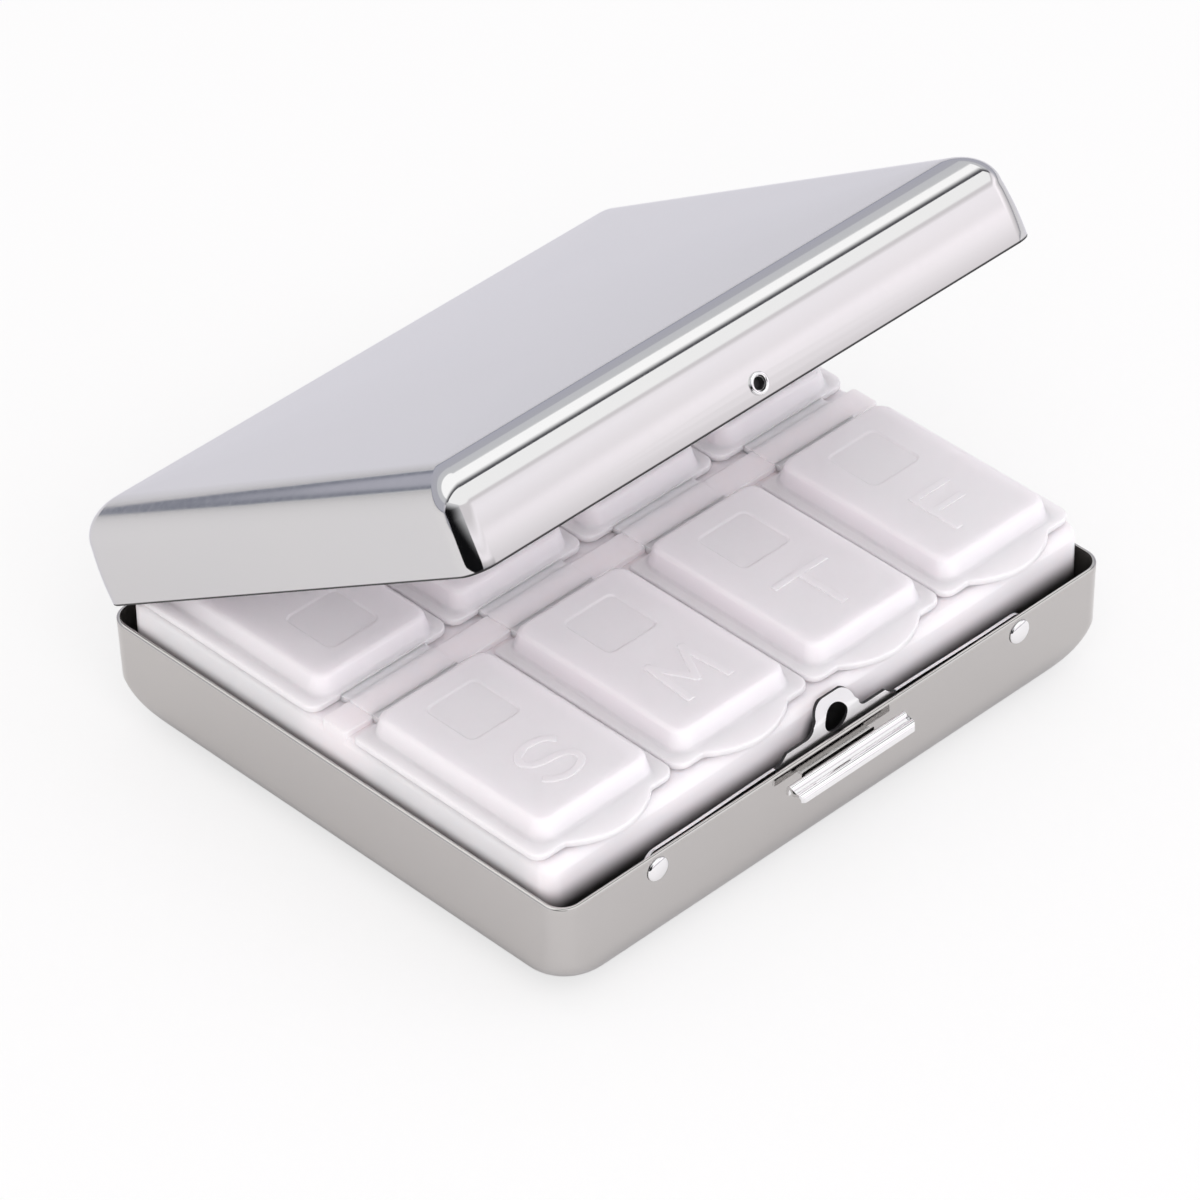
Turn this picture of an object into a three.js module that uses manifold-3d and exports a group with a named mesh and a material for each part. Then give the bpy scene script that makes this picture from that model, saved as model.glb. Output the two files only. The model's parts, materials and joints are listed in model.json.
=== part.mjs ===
// Metal pill case with a hinged lid, a sprung front catch and a plastic insert of eight covered bins.
// Millimetres, +Z up, +X to the right, -Y towards the catch, origin in the middle of the underside.
// The lid stands part open, as it does in the photograph.
import * as THREE from "three";
import { mergeVertices } from "three/addons/utils/BufferGeometryUtils.js";
import Module from "manifold-3d";

const wasm = await Module();
wasm.setup();

// Pressed sheet-metal case
const CASE_LENGTH = 90.0;
const CASE_WIDTH = 77.4;
const SHEET = 0.5;
const TRAY_HEIGHT = 16.0;
const TRAY_DRAFT = 0.17; // how far each side leans in below the rim
const TRAY_RIM_CORNER = 3.0;
const TRAY_BASE_CORNER = 9.9; // plan radius where the round bottom edge meets the underside
const TRAY_EDGE = 7.4; // radius of the round bottom edge
const LID_HEIGHT = 12.5;
const LID_DRAFT = 0.2;
const LID_RIM_CORNER = 3.2;
const LID_TOP_CORNER = 0.7;
const LID_EDGE = 5.2;
const CLOSED_RIM_GAP = 0.3; // air between the two rims when the case is shut
const LID_OPEN_ANGLE = 32.0; // degrees from shut, as photographed
const SEAT_GAP = 0.2; // air between pieces that touch on the real object
const SLIDE_GAP = 0.3; // air round the tab that slides through the front wall

// Hinge behind the rear walls
const HINGE_BEHIND_WALL = 1.1;
const HINGE_ABOVE_RIM = 0.15;
const HINGE_LENGTH = 60.0;
const HINGE_KNUCKLES = 5;
const KNUCKLE_GAP = 0.3;
const KNUCKLE_WALL = 0.35;
const PIN_RADIUS = 0.4;
const PIN_CLEARANCE = 0.1;
const PIN_HEAD_RADIUS = 0.65;
const PIN_HEAD_LENGTH = 0.4;
const LEAF_THICKNESS = 0.4;
const LEAF_REACH = 5.0; // from the hinge axis to the far edge of each leaf

// Sprung catch in the front wall
const BAR_THICKNESS = 0.4;
const BAR_HALF_LENGTH = 31.3;
const BAR_DEPTH = 5.8; // height of the bar below the rim
const BAR_END_RADIUS = 1.8;
const BAR_BOW = 0.4; // from the wall's inside to the middle of the bowed bar
const BAR_SEAT_START = 26.0; // beyond this the bar lies flat along the wall
const BAR_FLAT_HALF = 10.0; // the straight middle that carries the tongue
const BAR_SPLIT_GAP = 0.3; // air where each spring arm meets the tongue plate
const SHOULDER_HALF_WIDTH = 8.1;
const SHOULDER_HEIGHT = 1.2; // above the rim
const TONGUE_WIDTH = 7.4;
const TONGUE_TOP_WIDTH = 6.4;
const TONGUE_HEIGHT = 5.0; // above the rim, along the sheet
const TONGUE_CORNER = 2.1;
const TONGUE_FLARE = 1.2; // round inside corner where the tongue meets its shoulders
const TONGUE_BEND_HEIGHT = 2.6; // above the rim
const TONGUE_BEND_ANGLE = 26.0;
const CATCH_HOLE_RADIUS = 1.85;
const CATCH_HOLE_HEIGHT = 1.85; // above the rim
const PRESS_TRAVEL = 0.8;
const PRESS_CLEARANCE = 1.0; // left between the pressed bar and the insert
const RIVET_X = 29.9;
const RIVET_BELOW_RIM = 2.2;
const RIVET_HEAD_RADIUS = 1.6;
const RIVET_HEAD_HEIGHT = 0.6;
const RIVET_SHANK_RADIUS = 0.8;
const RIVET_TAIL_RADIUS = 1.3;
const RIVET_TAIL_HEIGHT = 0.4;

// Ribbed thumb piece outside the front wall
const THUMB_LENGTH = 19.0;
const THUMB_CENTRE_X = -0.6;
const THUMB_SHEET = 0.4;
const THUMB_DEPTH = 2.7; // from its rear flange to its front edge
const THUMB_RIB_HEIGHT = 0.5;
const THUMB_FLANGE_HEIGHT = 0.8;
const THUMB_BELOW_RIM = 1.8; // rim to the middle of the plate between the ribs
const THUMB_SLOPE = 0.3; // drop from the rear flange to the front edge
const THUMB_CORNER = 1.2;
const THUMB_PRESS_MARGIN = 0.1; // left to the wall when fully pressed
const TAB_WIDTH = 11.4;

// Hollow stud in the lid's front wall
const STUD_ABOVE_RIM = 2.1;
const STUD_FLANGE_RADIUS = 1.35;
const STUD_FLANGE_THICKNESS = 0.35;
const STUD_NECK_RADIUS = 0.8;
const STUD_NOSE_RADIUS = 1.1;
const STUD_MOUTH_RADIUS = 0.85;
const STUD_BORE_RADIUS = 0.5;
const STUD_BORE_DEPTH = 1.7;
const STUD_ENGAGEMENT = 0.6; // how far its nose passes the tongue's front face when shut

// Plastic insert
const INSERT_SIDE_GAP = 0.6;
const INSERT_FLOOR_GAP = 0.3;
const INSERT_EDGE_GAP = 0.3; // between its round bottom edge and the tray's
const INSERT_ABOVE_RIM = 3.9;
const INSERT_CORNER = 2.0;
const INSERT_TOP_ROUND = 0.7;
const BIN_COLUMNS = 4;
const BIN_WALL = 1.0;
const BIN_LONG_WALL = 2.4; // the insert's two long walls, which the flaps close on
const BIN_CORNER = 3.0;
const BIN_SPINE = 9.0; // wall between the two rows of bins, which the flaps' rear edges lie over
const HINGE_LINE_Y = 3.0; // bending line of each flap from the middle
const SPINE_TOP_HALF_WIDTH = 2.05;
const SPINE_PANEL_STEP = 0.25;
const WEB_THICKNESS = 0.3;
const WEB_HALF_LENGTH = 6.7;
const WEB_OVERSHOOT = 0.1; // how far a web passes its bending line

// Flaps over the bins
const FLAP_SIDE_GAP = 0.3;
const FLAP_SEAT_GAP = 0.3;
const FLANGE_THICKNESS = 0.8;
const FLANGE_OVERHANG = 0.1; // beyond the insert's end wall
const FLANGE_REAR_GAP = 0.4; // from the bending line to the flange
const FLANGE_FRONT_INSET = 1.6; // from the insert's long wall to the flange edge
const FLANGE_CORNER = 1.75;
const FRONT_ROW_HINGE_CORNER = 0.6; // nearly square corners beside the webs of the front row
const LIP_HALF_WIDTH = 6.8;
const LIP_REACH = 2.65;
const PLATEAU_WIDTH = 17.6;
const PLATEAU_REAR = 1.4; // from the bending line
const PLATEAU_FRONT_INSET = 1.8; // from the flange's front edge
const PLATEAU_HEIGHT = 2.55; // above the flange
const PLATEAU_DRAFT = 0.4;
const PLATEAU_CORNER = 1.8;
const PLATEAU_EDGE = 0.7;
const PLATEAU_WALL = 0.8;
const WINDOW_SIZE = 8.0;
const WINDOW_CORNER = 1.0;
const WINDOW_DEPTH = 0.3;
const WINDOW_REAR = 4.9; // from the bending line

// Fineness of the curves
const CORNER_STEPS = 5;
const EDGE_STEPS = 6;
const SMALL_STEPS = 3;
const ROUND_SIDES = 20;
const SMALL_ROUND_SIDES = 12;
const CUT_MARGIN = 1.0; // how far a cutting solid passes the face that it cuts

// Places that follow from the dimensions
const FRONT_FACE = -CASE_WIDTH / 2;
const FRONT_INSIDE = FRONT_FACE + SHEET;
const BAR_MIDDLE_FRONT = FRONT_INSIDE + BAR_BOW;
const BAR_END_FRONT = FRONT_INSIDE + SEAT_GAP;
const HINGE_Y = CASE_WIDTH / 2 + HINGE_BEHIND_WALL;
const HINGE_Z = TRAY_HEIGHT + HINGE_ABOVE_RIM;
const KNUCKLE_BORE = PIN_RADIUS + PIN_CLEARANCE;
const KNUCKLE_RADIUS = KNUCKLE_BORE + KNUCKLE_WALL;
const LATCH_SPACE = BAR_BOW + BAR_THICKNESS + PRESS_TRAVEL + PRESS_CLEARANCE;
const INSERT_HALF_LENGTH = CASE_LENGTH / 2 - SHEET - INSERT_SIDE_GAP;
const INSERT_HALF_WIDTH = CASE_WIDTH / 2 - SHEET - LATCH_SPACE;
const INSERT_FLOOR = SHEET + INSERT_FLOOR_GAP;
const INSERT_TOP = TRAY_HEIGHT + INSERT_ABOVE_RIM;
const INSERT_EDGE = TRAY_EDGE - SHEET - INSERT_EDGE_GAP;
const INSERT_BASE_CORNER = TRAY_BASE_CORNER - SHEET - INSERT_EDGE_GAP;
const BIN_PITCH = (2 * INSERT_HALF_LENGTH) / BIN_COLUMNS;
const FLANGE_BOTTOM = INSERT_TOP + FLAP_SEAT_GAP;
const FLANGE_TOP = FLANGE_BOTTOM + FLANGE_THICKNESS;
const FLAP_AXIS_Z = FLANGE_BOTTOM + FLANGE_THICKNESS / 2;
const FLANGE_FRONT = INSERT_HALF_WIDTH - FLANGE_FRONT_INSET - HINGE_LINE_Y;
const PLATEAU_FRONT = FLANGE_FRONT - PLATEAU_FRONT_INSET;
const THUMB_STAND_OFF = PRESS_TRAVEL + THUMB_PRESS_MARGIN;
const THUMB_Z = TRAY_HEIGHT - THUMB_BELOW_RIM;
const TAB_Z = THUMB_Z - THUMB_FLANGE_HEIGHT;

const METAL = { color: 0xc9c8c8, roughness: 0.25, metalness: 1.0 };
const BRIGHT_METAL = { color: 0xe4e4e6, roughness: 0.12, metalness: 1.0 };
const INSERT_PLASTIC = { color: 0xdcdcda, roughness: 0.45, metalness: 0.0 };
const FLAP_PLASTIC = { color: 0xe2dce4, roughness: 0.4, metalness: 0.0 };

// A closed three.js geometry as a solid that can be joined and cut.
function solidOf(geometry) {
  const bare = new THREE.BufferGeometry();
  bare.setAttribute("position", geometry.getAttribute("position"));
  bare.setIndex(geometry.getIndex());
  const merged = mergeVertices(bare);
  const vertProperties = new Float32Array(merged.getAttribute("position").array);
  const triVerts = new Uint32Array(merged.getIndex().array);
  return new wasm.Manifold(new wasm.Mesh({ numProp: 3, vertProperties, triVerts }));
}

// A finished solid as a named mesh with its own material.
function meshOf(name, solid, finish) {
  const { vertProperties, triVerts } = solid.getMesh();
  const geometry = new THREE.BufferGeometry();
  geometry.setAttribute("position", new THREE.BufferAttribute(vertProperties, 3));
  geometry.setIndex(new THREE.BufferAttribute(triVerts, 1));
  const mesh = new THREE.Mesh(geometry, new THREE.MeshStandardMaterial(finish));
  mesh.name = name;
  return mesh;
}

// A rounded rectangle as a ring of points at one height, anticlockwise seen from above.
function roundedRing(halfX, halfY, radius, z, centreX = 0, centreY = 0) {
  const ring = [];
  const corners = [
    [1, -1, -0.5],
    [1, 1, 0],
    [-1, 1, 0.5],
    [-1, -1, 1],
  ];
  for (const [sideX, sideY, turn] of corners) {
    for (let step = 0; step <= CORNER_STEPS; step++) {
      const angle = Math.PI * (turn + (0.5 * step) / CORNER_STEPS);
      const x = sideX * (halfX - radius) + radius * Math.cos(angle);
      const y = sideY * (halfY - radius) + radius * Math.sin(angle);
      ring.push([centreX + x, centreY + y, z]);
    }
  }
  return ring;
}

// A closed surface through a stack of rings, flat across the first and the last.
function loft(rings) {
  const count = rings[0].length;
  const last = (rings.length - 1) * count;
  const index = [];
  for (let start = 0; start < last; start += count) {
    for (let i = 0; i < count; i++) {
      const a = start + i;
      const b = start + ((i + 1) % count);
      index.push(a, b, b + count, a, b + count, a + count);
    }
  }
  const outline = rings[0].map(([x, y]) => new THREE.Vector2(x, y));
  for (const [a, b, c] of THREE.ShapeUtils.triangulateShape(outline, [])) {
    index.push(a, c, b, last + a, last + b, last + c);
  }
  const geometry = new THREE.BufferGeometry();
  geometry.setAttribute("position", new THREE.Float32BufferAttribute(rings.flat(2), 3));
  geometry.setIndex(index);
  return geometry;
}

// Rings of a dish from its flat floor up its round edge: each ring's inset, height and share of the turn.
function dishEdge(radius, floor) {
  const levels = [];
  for (let step = EDGE_STEPS; step >= 0; step--) {
    const turn = step / EDGE_STEPS;
    const angle = (Math.PI / 2) * turn;
    levels.push({
      inset: radius * (1 - Math.cos(angle)),
      z: floor + radius * (1 - Math.sin(angle)),
      turn,
    });
  }
  return levels;
}

function box(minX, maxX, minY, maxY, minZ, maxZ) {
  const geometry = new THREE.BoxGeometry(maxX - minX, maxY - minY, maxZ - minZ);
  return geometry.translate((minX + maxX) / 2, (minY + maxY) / 2, (minZ + maxZ) / 2);
}

// A cylinder along Y between two faces.
function rodAlongY(radius, x, minY, maxY, z, sides = ROUND_SIDES) {
  const geometry = new THREE.CylinderGeometry(radius, radius, maxY - minY, sides);
  return geometry.translate(x, (minY + maxY) / 2, z);
}

// A cylinder along X between two faces.
function rodAlongX(radius, minX, maxX, y, z, sides = ROUND_SIDES) {
  const geometry = new THREE.CylinderGeometry(radius, radius, maxX - minX, sides);
  return geometry.rotateZ(Math.PI / 2).translate((minX + maxX) / 2, y, z);
}

// A shape drawn in X and Z as a plate that runs back from its front face.
function plate(shape, frontY, thickness) {
  const geometry = new THREE.ExtrudeGeometry(shape, {
    depth: thickness,
    bevelEnabled: false,
    curveSegments: CORNER_STEPS,
  });
  return geometry.rotateX(Math.PI / 2).translate(0, frontY + thickness, 0);
}

// A shape drawn in X and Y as a prism that runs up from its lowest height.
function prism(shape, minZ, height) {
  const geometry = new THREE.ExtrudeGeometry(shape, {
    depth: height,
    bevelEnabled: false,
    curveSegments: CORNER_STEPS,
  });
  return geometry.translate(0, 0, minZ);
}

function roundedRectangle(minX, maxX, minY, maxY, radius) {
  const shape = new THREE.Shape();
  shape.absarc(maxX - radius, minY + radius, radius, -Math.PI / 2, 0);
  shape.absarc(maxX - radius, maxY - radius, radius, 0, Math.PI / 2);
  shape.absarc(minX + radius, maxY - radius, radius, Math.PI / 2, Math.PI);
  shape.absarc(minX + radius, minY + radius, radius, Math.PI, Math.PI * 1.5);
  return shape;
}

// Pressed shell: a dish of even thickness with its floor at zero and its rim on top.
function pressedShell({ height, draft, rimCorner, farCorner, edge }) {
  const skin = (offset) => {
    const radius = edge - offset;
    const halfX = CASE_LENGTH / 2 - offset;
    const halfY = CASE_WIDTH / 2 - offset;
    const rings = dishEdge(radius, offset).map(({ inset, z, turn }) => {
      const corner = rimCorner + (farCorner - rimCorner) * turn - offset;
      return roundedRing(halfX - draft - inset, halfY - draft - inset, corner, z);
    });
    rings.push(roundedRing(halfX, halfY, rimCorner - offset, height));
    return rings;
  };
  return loft([...skin(0), ...skin(SHEET).reverse()]);
}

function traySolid() {
  const shell = solidOf(
    pressedShell({
      height: TRAY_HEIGHT,
      draft: TRAY_DRAFT,
      rimCorner: TRAY_RIM_CORNER,
      farCorner: TRAY_BASE_CORNER,
      edge: TRAY_EDGE,
    }),
  );
  const cutFrom = FRONT_FACE - CUT_MARGIN;
  const cutTo = FRONT_INSIDE + CUT_MARGIN;
  const tabHalf = TAB_WIDTH / 2 + SLIDE_GAP;
  const slotHalf = THUMB_SHEET / 2 + SLIDE_GAP;
  let tray = shell.subtract(
    solidOf(
      box(
        THUMB_CENTRE_X - tabHalf,
        THUMB_CENTRE_X + tabHalf,
        cutFrom,
        cutTo,
        TAB_Z - slotHalf,
        TAB_Z + slotHalf,
      ),
    ),
  );
  for (const side of [-1, 1]) {
    const hole = rodAlongY(
      RIVET_SHANK_RADIUS + SEAT_GAP,
      side * RIVET_X,
      cutFrom,
      cutTo,
      TRAY_HEIGHT - RIVET_BELOW_RIM,
    );
    tray = tray.subtract(solidOf(hole));
  }
  return tray;
}

// The lid as it lies shut, with its rim just above the tray's.
function lidSolid() {
  const shell = pressedShell({
    height: LID_HEIGHT,
    draft: LID_DRAFT,
    rimCorner: LID_RIM_CORNER,
    farCorner: LID_TOP_CORNER,
    edge: LID_EDGE,
  });
  shell.rotateX(Math.PI).translate(0, 0, TRAY_HEIGHT + CLOSED_RIM_GAP + LID_HEIGHT);
  const hole = rodAlongY(
    STUD_NECK_RADIUS + SEAT_GAP,
    0,
    FRONT_FACE - CUT_MARGIN,
    FRONT_INSIDE + CUT_MARGIN,
    TRAY_HEIGHT + CLOSED_RIM_GAP + STUD_ABOVE_RIM,
  );
  return solidOf(shell).subtract(solidOf(hole));
}

// One leaf with every other knuckle. The tray's leaf hangs down from the axis, the lid's stands up.
function hingeLeafSolid(direction, firstKnuckle) {
  const frontY = CASE_WIDTH / 2 + SEAT_GAP;
  const backY = frontY + LEAF_THICKNESS;
  const strip = (minX, maxX, near, far) => {
    const ends = [HINGE_Z + direction * near, HINGE_Z + direction * far];
    return solidOf(box(minX, maxX, frontY, backY, Math.min(...ends), Math.max(...ends)));
  };
  const clear = KNUCKLE_RADIUS + SEAT_GAP;
  let leaf = strip(-HINGE_LENGTH / 2, HINGE_LENGTH / 2, clear, LEAF_REACH);
  const pitch = HINGE_LENGTH / HINGE_KNUCKLES;
  for (let i = firstKnuckle; i < HINGE_KNUCKLES; i += 2) {
    const minX = -HINGE_LENGTH / 2 + i * pitch + (i > 0 ? KNUCKLE_GAP / 2 : 0);
    const maxX = -HINGE_LENGTH / 2 + (i + 1) * pitch - (i < HINGE_KNUCKLES - 1 ? KNUCKLE_GAP / 2 : 0);
    leaf = leaf.add(strip(minX, maxX, 0, LEAF_REACH));
    leaf = leaf.add(solidOf(rodAlongX(KNUCKLE_RADIUS, minX, maxX, HINGE_Y, HINGE_Z)));
  }
  const boreEnd = HINGE_LENGTH / 2 + CUT_MARGIN;
  const bore = rodAlongX(KNUCKLE_BORE, -boreEnd, boreEnd, HINGE_Y, HINGE_Z, SMALL_ROUND_SIDES);
  return leaf.subtract(solidOf(bore));
}

// Pin through the knuckles with a peened head at each end.
function hingePinSolid() {
  const headStart = HINGE_LENGTH / 2 + SEAT_GAP;
  const pinEnd = headStart + PIN_HEAD_LENGTH;
  const heads = [-1, 1].map((side) => {
    const ends = [side * headStart, side * pinEnd];
    const head = rodAlongX(PIN_HEAD_RADIUS, Math.min(...ends), Math.max(...ends), HINGE_Y, HINGE_Z);
    return solidOf(head);
  });
  const shaft = rodAlongX(PIN_RADIUS, -pinEnd, pinEnd, HINGE_Y, HINGE_Z, SMALL_ROUND_SIDES);
  return solidOf(shaft).add(heads[0]).add(heads[1]);
}

// Front face of the bowed bar at a distance along the wall.
function barFront(x) {
  const share = (Math.abs(x) - BAR_FLAT_HALF) / (BAR_SEAT_START - BAR_FLAT_HALF);
  const blend = 0.5 - 0.5 * Math.cos(Math.PI * THREE.MathUtils.clamp(share, 0, 1));
  return BAR_MIDDLE_FRONT + (BAR_END_FRONT - BAR_MIDDLE_FRONT) * blend;
}

// One arm of the leaf spring, from its riveted end to the tongue plate.
function springArmSolid(side) {
  const steps = 2 * EDGE_STEPS;
  const innerEnd = BAR_FLAT_HALF + BAR_SPLIT_GAP;
  const front = [];
  const back = [];
  for (let step = 0; step <= steps; step++) {
    const x = innerEnd + ((BAR_HALF_LENGTH - innerEnd) * step) / steps;
    front.push(new THREE.Vector2(side * x, barFront(x)));
    back.push(new THREE.Vector2(side * x, barFront(x) + BAR_THICKNESS));
  }
  const strip = prism(new THREE.Shape([...front, ...back.reverse()]), 0, TRAY_HEIGHT);
  const outline = roundedRectangle(
    -BAR_HALF_LENGTH,
    BAR_HALF_LENGTH,
    TRAY_HEIGHT - BAR_DEPTH,
    TRAY_HEIGHT,
    BAR_END_RADIUS,
  );
  const hole = rodAlongY(
    RIVET_SHANK_RADIUS + SEAT_GAP,
    side * RIVET_X,
    FRONT_FACE,
    BAR_MIDDLE_FRONT + CUT_MARGIN,
    TRAY_HEIGHT - RIVET_BELOW_RIM,
  );
  const blank = plate(outline, FRONT_FACE, BAR_MIDDLE_FRONT + BAR_THICKNESS + CUT_MARGIN - FRONT_FACE);
  return solidOf(strip).intersect(solidOf(blank)).subtract(solidOf(hole));
}

// Middle of the bar with its raised shoulders and the holed tongue, whose top leans back.
function latchTongueSolid() {
  const bottom = TRAY_HEIGHT - BAR_DEPTH;
  const shoulder = TRAY_HEIGHT + SHOULDER_HEIGHT;
  const bend = TRAY_HEIGHT + TONGUE_BEND_HEIGHT;
  const half = TONGUE_WIDTH / 2;
  const topHalf = TONGUE_TOP_WIDTH / 2;
  const outline = new THREE.Shape();
  outline.moveTo(-BAR_FLAT_HALF, bottom);
  outline.lineTo(BAR_FLAT_HALF, bottom);
  outline.lineTo(BAR_FLAT_HALF, TRAY_HEIGHT);
  outline.lineTo(SHOULDER_HALF_WIDTH + SHOULDER_HEIGHT, TRAY_HEIGHT);
  outline.lineTo(SHOULDER_HALF_WIDTH, shoulder);
  outline.absarc(half + TONGUE_FLARE, shoulder + TONGUE_FLARE, TONGUE_FLARE, -Math.PI / 2, Math.PI, true);
  outline.lineTo(half, bend);
  outline.lineTo(-half, bend);
  outline.absarc(-half - TONGUE_FLARE, shoulder + TONGUE_FLARE, TONGUE_FLARE, 0, -Math.PI / 2, true);
  outline.lineTo(-SHOULDER_HALF_WIDTH, shoulder);
  outline.lineTo(-SHOULDER_HALF_WIDTH - SHOULDER_HEIGHT, TRAY_HEIGHT);
  outline.lineTo(-BAR_FLAT_HALF, TRAY_HEIGHT);
  outline.closePath();
  const tip = new THREE.Shape();
  const tipHeight = TONGUE_HEIGHT - TONGUE_BEND_HEIGHT;
  const tipCorner = Math.min(TONGUE_CORNER, tipHeight);
  tip.moveTo(-half, -BAR_THICKNESS / 2);
  tip.lineTo(half, -BAR_THICKNESS / 2);
  tip.absarc(topHalf - tipCorner, tipHeight - tipCorner, tipCorner, 0, Math.PI / 2);
  tip.absarc(-topHalf + tipCorner, tipHeight - tipCorner, tipCorner, Math.PI / 2, Math.PI);
  tip.closePath();
  const leaning = plate(tip, -BAR_THICKNESS / 2, BAR_THICKNESS);
  leaning.rotateX(THREE.MathUtils.degToRad(-TONGUE_BEND_ANGLE));
  leaning.translate(0, BAR_MIDDLE_FRONT + BAR_THICKNESS / 2, bend);
  const hole = rodAlongY(
    CATCH_HOLE_RADIUS,
    0,
    BAR_MIDDLE_FRONT - CUT_MARGIN,
    BAR_MIDDLE_FRONT + BAR_THICKNESS + tipHeight,
    TRAY_HEIGHT + CATCH_HOLE_HEIGHT,
  );
  const upright = solidOf(plate(outline, BAR_MIDDLE_FRONT, BAR_THICKNESS));
  return upright.add(solidOf(leaning)).subtract(solidOf(hole));
}

// A strip of even thickness along a centre line drawn in Y and Z.
function stripSection(centres, thickness) {
  const sides = [1, -1].map((side) =>
    centres.map((point, i) => {
      const before = centres[Math.max(i - 1, 0)];
      const after = centres[Math.min(i + 1, centres.length - 1)];
      const along = after.clone().sub(before).normalize();
      const across = new THREE.Vector2(-along.y, along.x);
      return point.clone().addScaledVector(across, (side * thickness) / 2);
    }),
  );
  return new THREE.Shape([...sides[0], ...sides[1].reverse()]);
}

function extrudeAlongX(shape, minX, maxX) {
  const geometry = new THREE.ExtrudeGeometry(shape, {
    depth: maxX - minX,
    bevelEnabled: false,
    curveSegments: CORNER_STEPS,
  });
  const turn = new THREE.Matrix4().makeBasis(
    new THREE.Vector3(0, 1, 0),
    new THREE.Vector3(0, 0, 1),
    new THREE.Vector3(1, 0, 0),
  );
  return geometry.applyMatrix4(turn).translate(minX, 0, 0);
}

// Ribbed plate that is pushed by the thumb, with the tab that carries it through the wall.
function thumbPieceSolid() {
  const rear = FRONT_FACE - THUMB_STAND_OFF - THUMB_SHEET / 2;
  const front = rear - THUMB_DEPTH + THUMB_SHEET;
  const at = (share, height) => {
    const y = rear + (front - rear) * share;
    return new THREE.Vector2(y, THUMB_Z - THUMB_SLOPE * share + height);
  };
  const wave = new THREE.SplineCurve([
    at(0, -THUMB_FLANGE_HEIGHT),
    at(0, 0),
    at(0.1, THUMB_RIB_HEIGHT),
    at(0.25, 0.7 * THUMB_RIB_HEIGHT),
    at(0.42, -THUMB_RIB_HEIGHT / 4),
    at(0.58, THUMB_RIB_HEIGHT / 4),
    at(0.8, THUMB_RIB_HEIGHT / 2),
    at(0.96, 0),
    at(1, -THUMB_RIB_HEIGHT),
  ]);
  const section = stripSection(wave.getSpacedPoints(6 * SMALL_STEPS), THUMB_SHEET);
  const minX = THUMB_CENTRE_X - THUMB_LENGTH / 2;
  const maxX = THUMB_CENTRE_X + THUMB_LENGTH / 2;
  const plan = roundedRectangle(
    minX,
    maxX,
    front - THUMB_SHEET,
    rear + THUMB_CORNER + THUMB_SHEET,
    THUMB_CORNER,
  );
  const ribbed = solidOf(extrudeAlongX(section, minX, maxX)).intersect(
    solidOf(prism(plan, 0, TRAY_HEIGHT)),
  );
  const tab = box(
    THUMB_CENTRE_X - TAB_WIDTH / 2,
    THUMB_CENTRE_X + TAB_WIDTH / 2,
    rear,
    BAR_MIDDLE_FRONT - SEAT_GAP,
    TAB_Z - THUMB_SHEET / 2,
    TAB_Z + THUMB_SHEET / 2,
  );
  return ribbed.add(solidOf(tab));
}

// Domed rivet through the wall and the end of a spring arm.
function rivetSolid(side) {
  const headBack = FRONT_FACE - SEAT_GAP;
  const tailFront = BAR_END_FRONT + BAR_THICKNESS + SEAT_GAP;
  const profile = [];
  for (let step = 0; step <= SMALL_STEPS; step++) {
    const angle = ((Math.PI / 2) * step) / SMALL_STEPS;
    const radius = RIVET_HEAD_RADIUS * Math.sin(angle);
    profile.push(new THREE.Vector2(radius, headBack - RIVET_HEAD_HEIGHT * Math.cos(angle)));
  }
  profile.push(new THREE.Vector2(RIVET_SHANK_RADIUS, headBack));
  profile.push(new THREE.Vector2(RIVET_SHANK_RADIUS, tailFront));
  profile.push(new THREE.Vector2(RIVET_TAIL_RADIUS, tailFront));
  profile.push(new THREE.Vector2(RIVET_TAIL_RADIUS, tailFront + RIVET_TAIL_HEIGHT));
  profile.push(new THREE.Vector2(0, tailFront + RIVET_TAIL_HEIGHT));
  const lathe = new THREE.LatheGeometry(profile, ROUND_SIDES);
  return solidOf(lathe.translate(side * RIVET_X, 0, TRAY_HEIGHT - RIVET_BELOW_RIM));
}

// Hollow stud that the tongue's hole catches, in the place where it lies with the lid shut.
function catchStudSolid() {
  const flangeBack = FRONT_FACE - SEAT_GAP;
  const flangeFront = flangeBack - STUD_FLANGE_THICKNESS;
  const noseFront = FRONT_INSIDE + SEAT_GAP;
  const noseTip = BAR_MIDDLE_FRONT + STUD_ENGAGEMENT;
  const noseRound = (noseTip - noseFront) / 2;
  const profile = [
    new THREE.Vector2(0, flangeFront + STUD_BORE_DEPTH),
    new THREE.Vector2(STUD_BORE_RADIUS, flangeFront + STUD_BORE_DEPTH),
    new THREE.Vector2(STUD_BORE_RADIUS, flangeFront + STUD_MOUTH_RADIUS),
    new THREE.Vector2(STUD_MOUTH_RADIUS, flangeFront),
    new THREE.Vector2(STUD_FLANGE_RADIUS, flangeFront),
    new THREE.Vector2(STUD_FLANGE_RADIUS, flangeBack),
    new THREE.Vector2(STUD_NECK_RADIUS, flangeBack),
    new THREE.Vector2(STUD_NECK_RADIUS, noseFront),
    new THREE.Vector2(STUD_NOSE_RADIUS, noseFront),
  ];
  for (let step = 0; step <= SMALL_STEPS; step++) {
    const angle = ((Math.PI / 2) * step) / SMALL_STEPS;
    const radius = STUD_NOSE_RADIUS - noseRound * (1 - Math.cos(angle));
    profile.push(new THREE.Vector2(radius, noseTip - noseRound * (1 - Math.sin(angle))));
  }
  profile.push(new THREE.Vector2(0, noseTip));
  const lathe = new THREE.LatheGeometry(profile, ROUND_SIDES);
  return solidOf(lathe.translate(0, 0, TRAY_HEIGHT + CLOSED_RIM_GAP + STUD_ABOVE_RIM));
}

function columnCentre(column) {
  return (column - (BIN_COLUMNS - 1) / 2) * BIN_PITCH;
}

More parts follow.
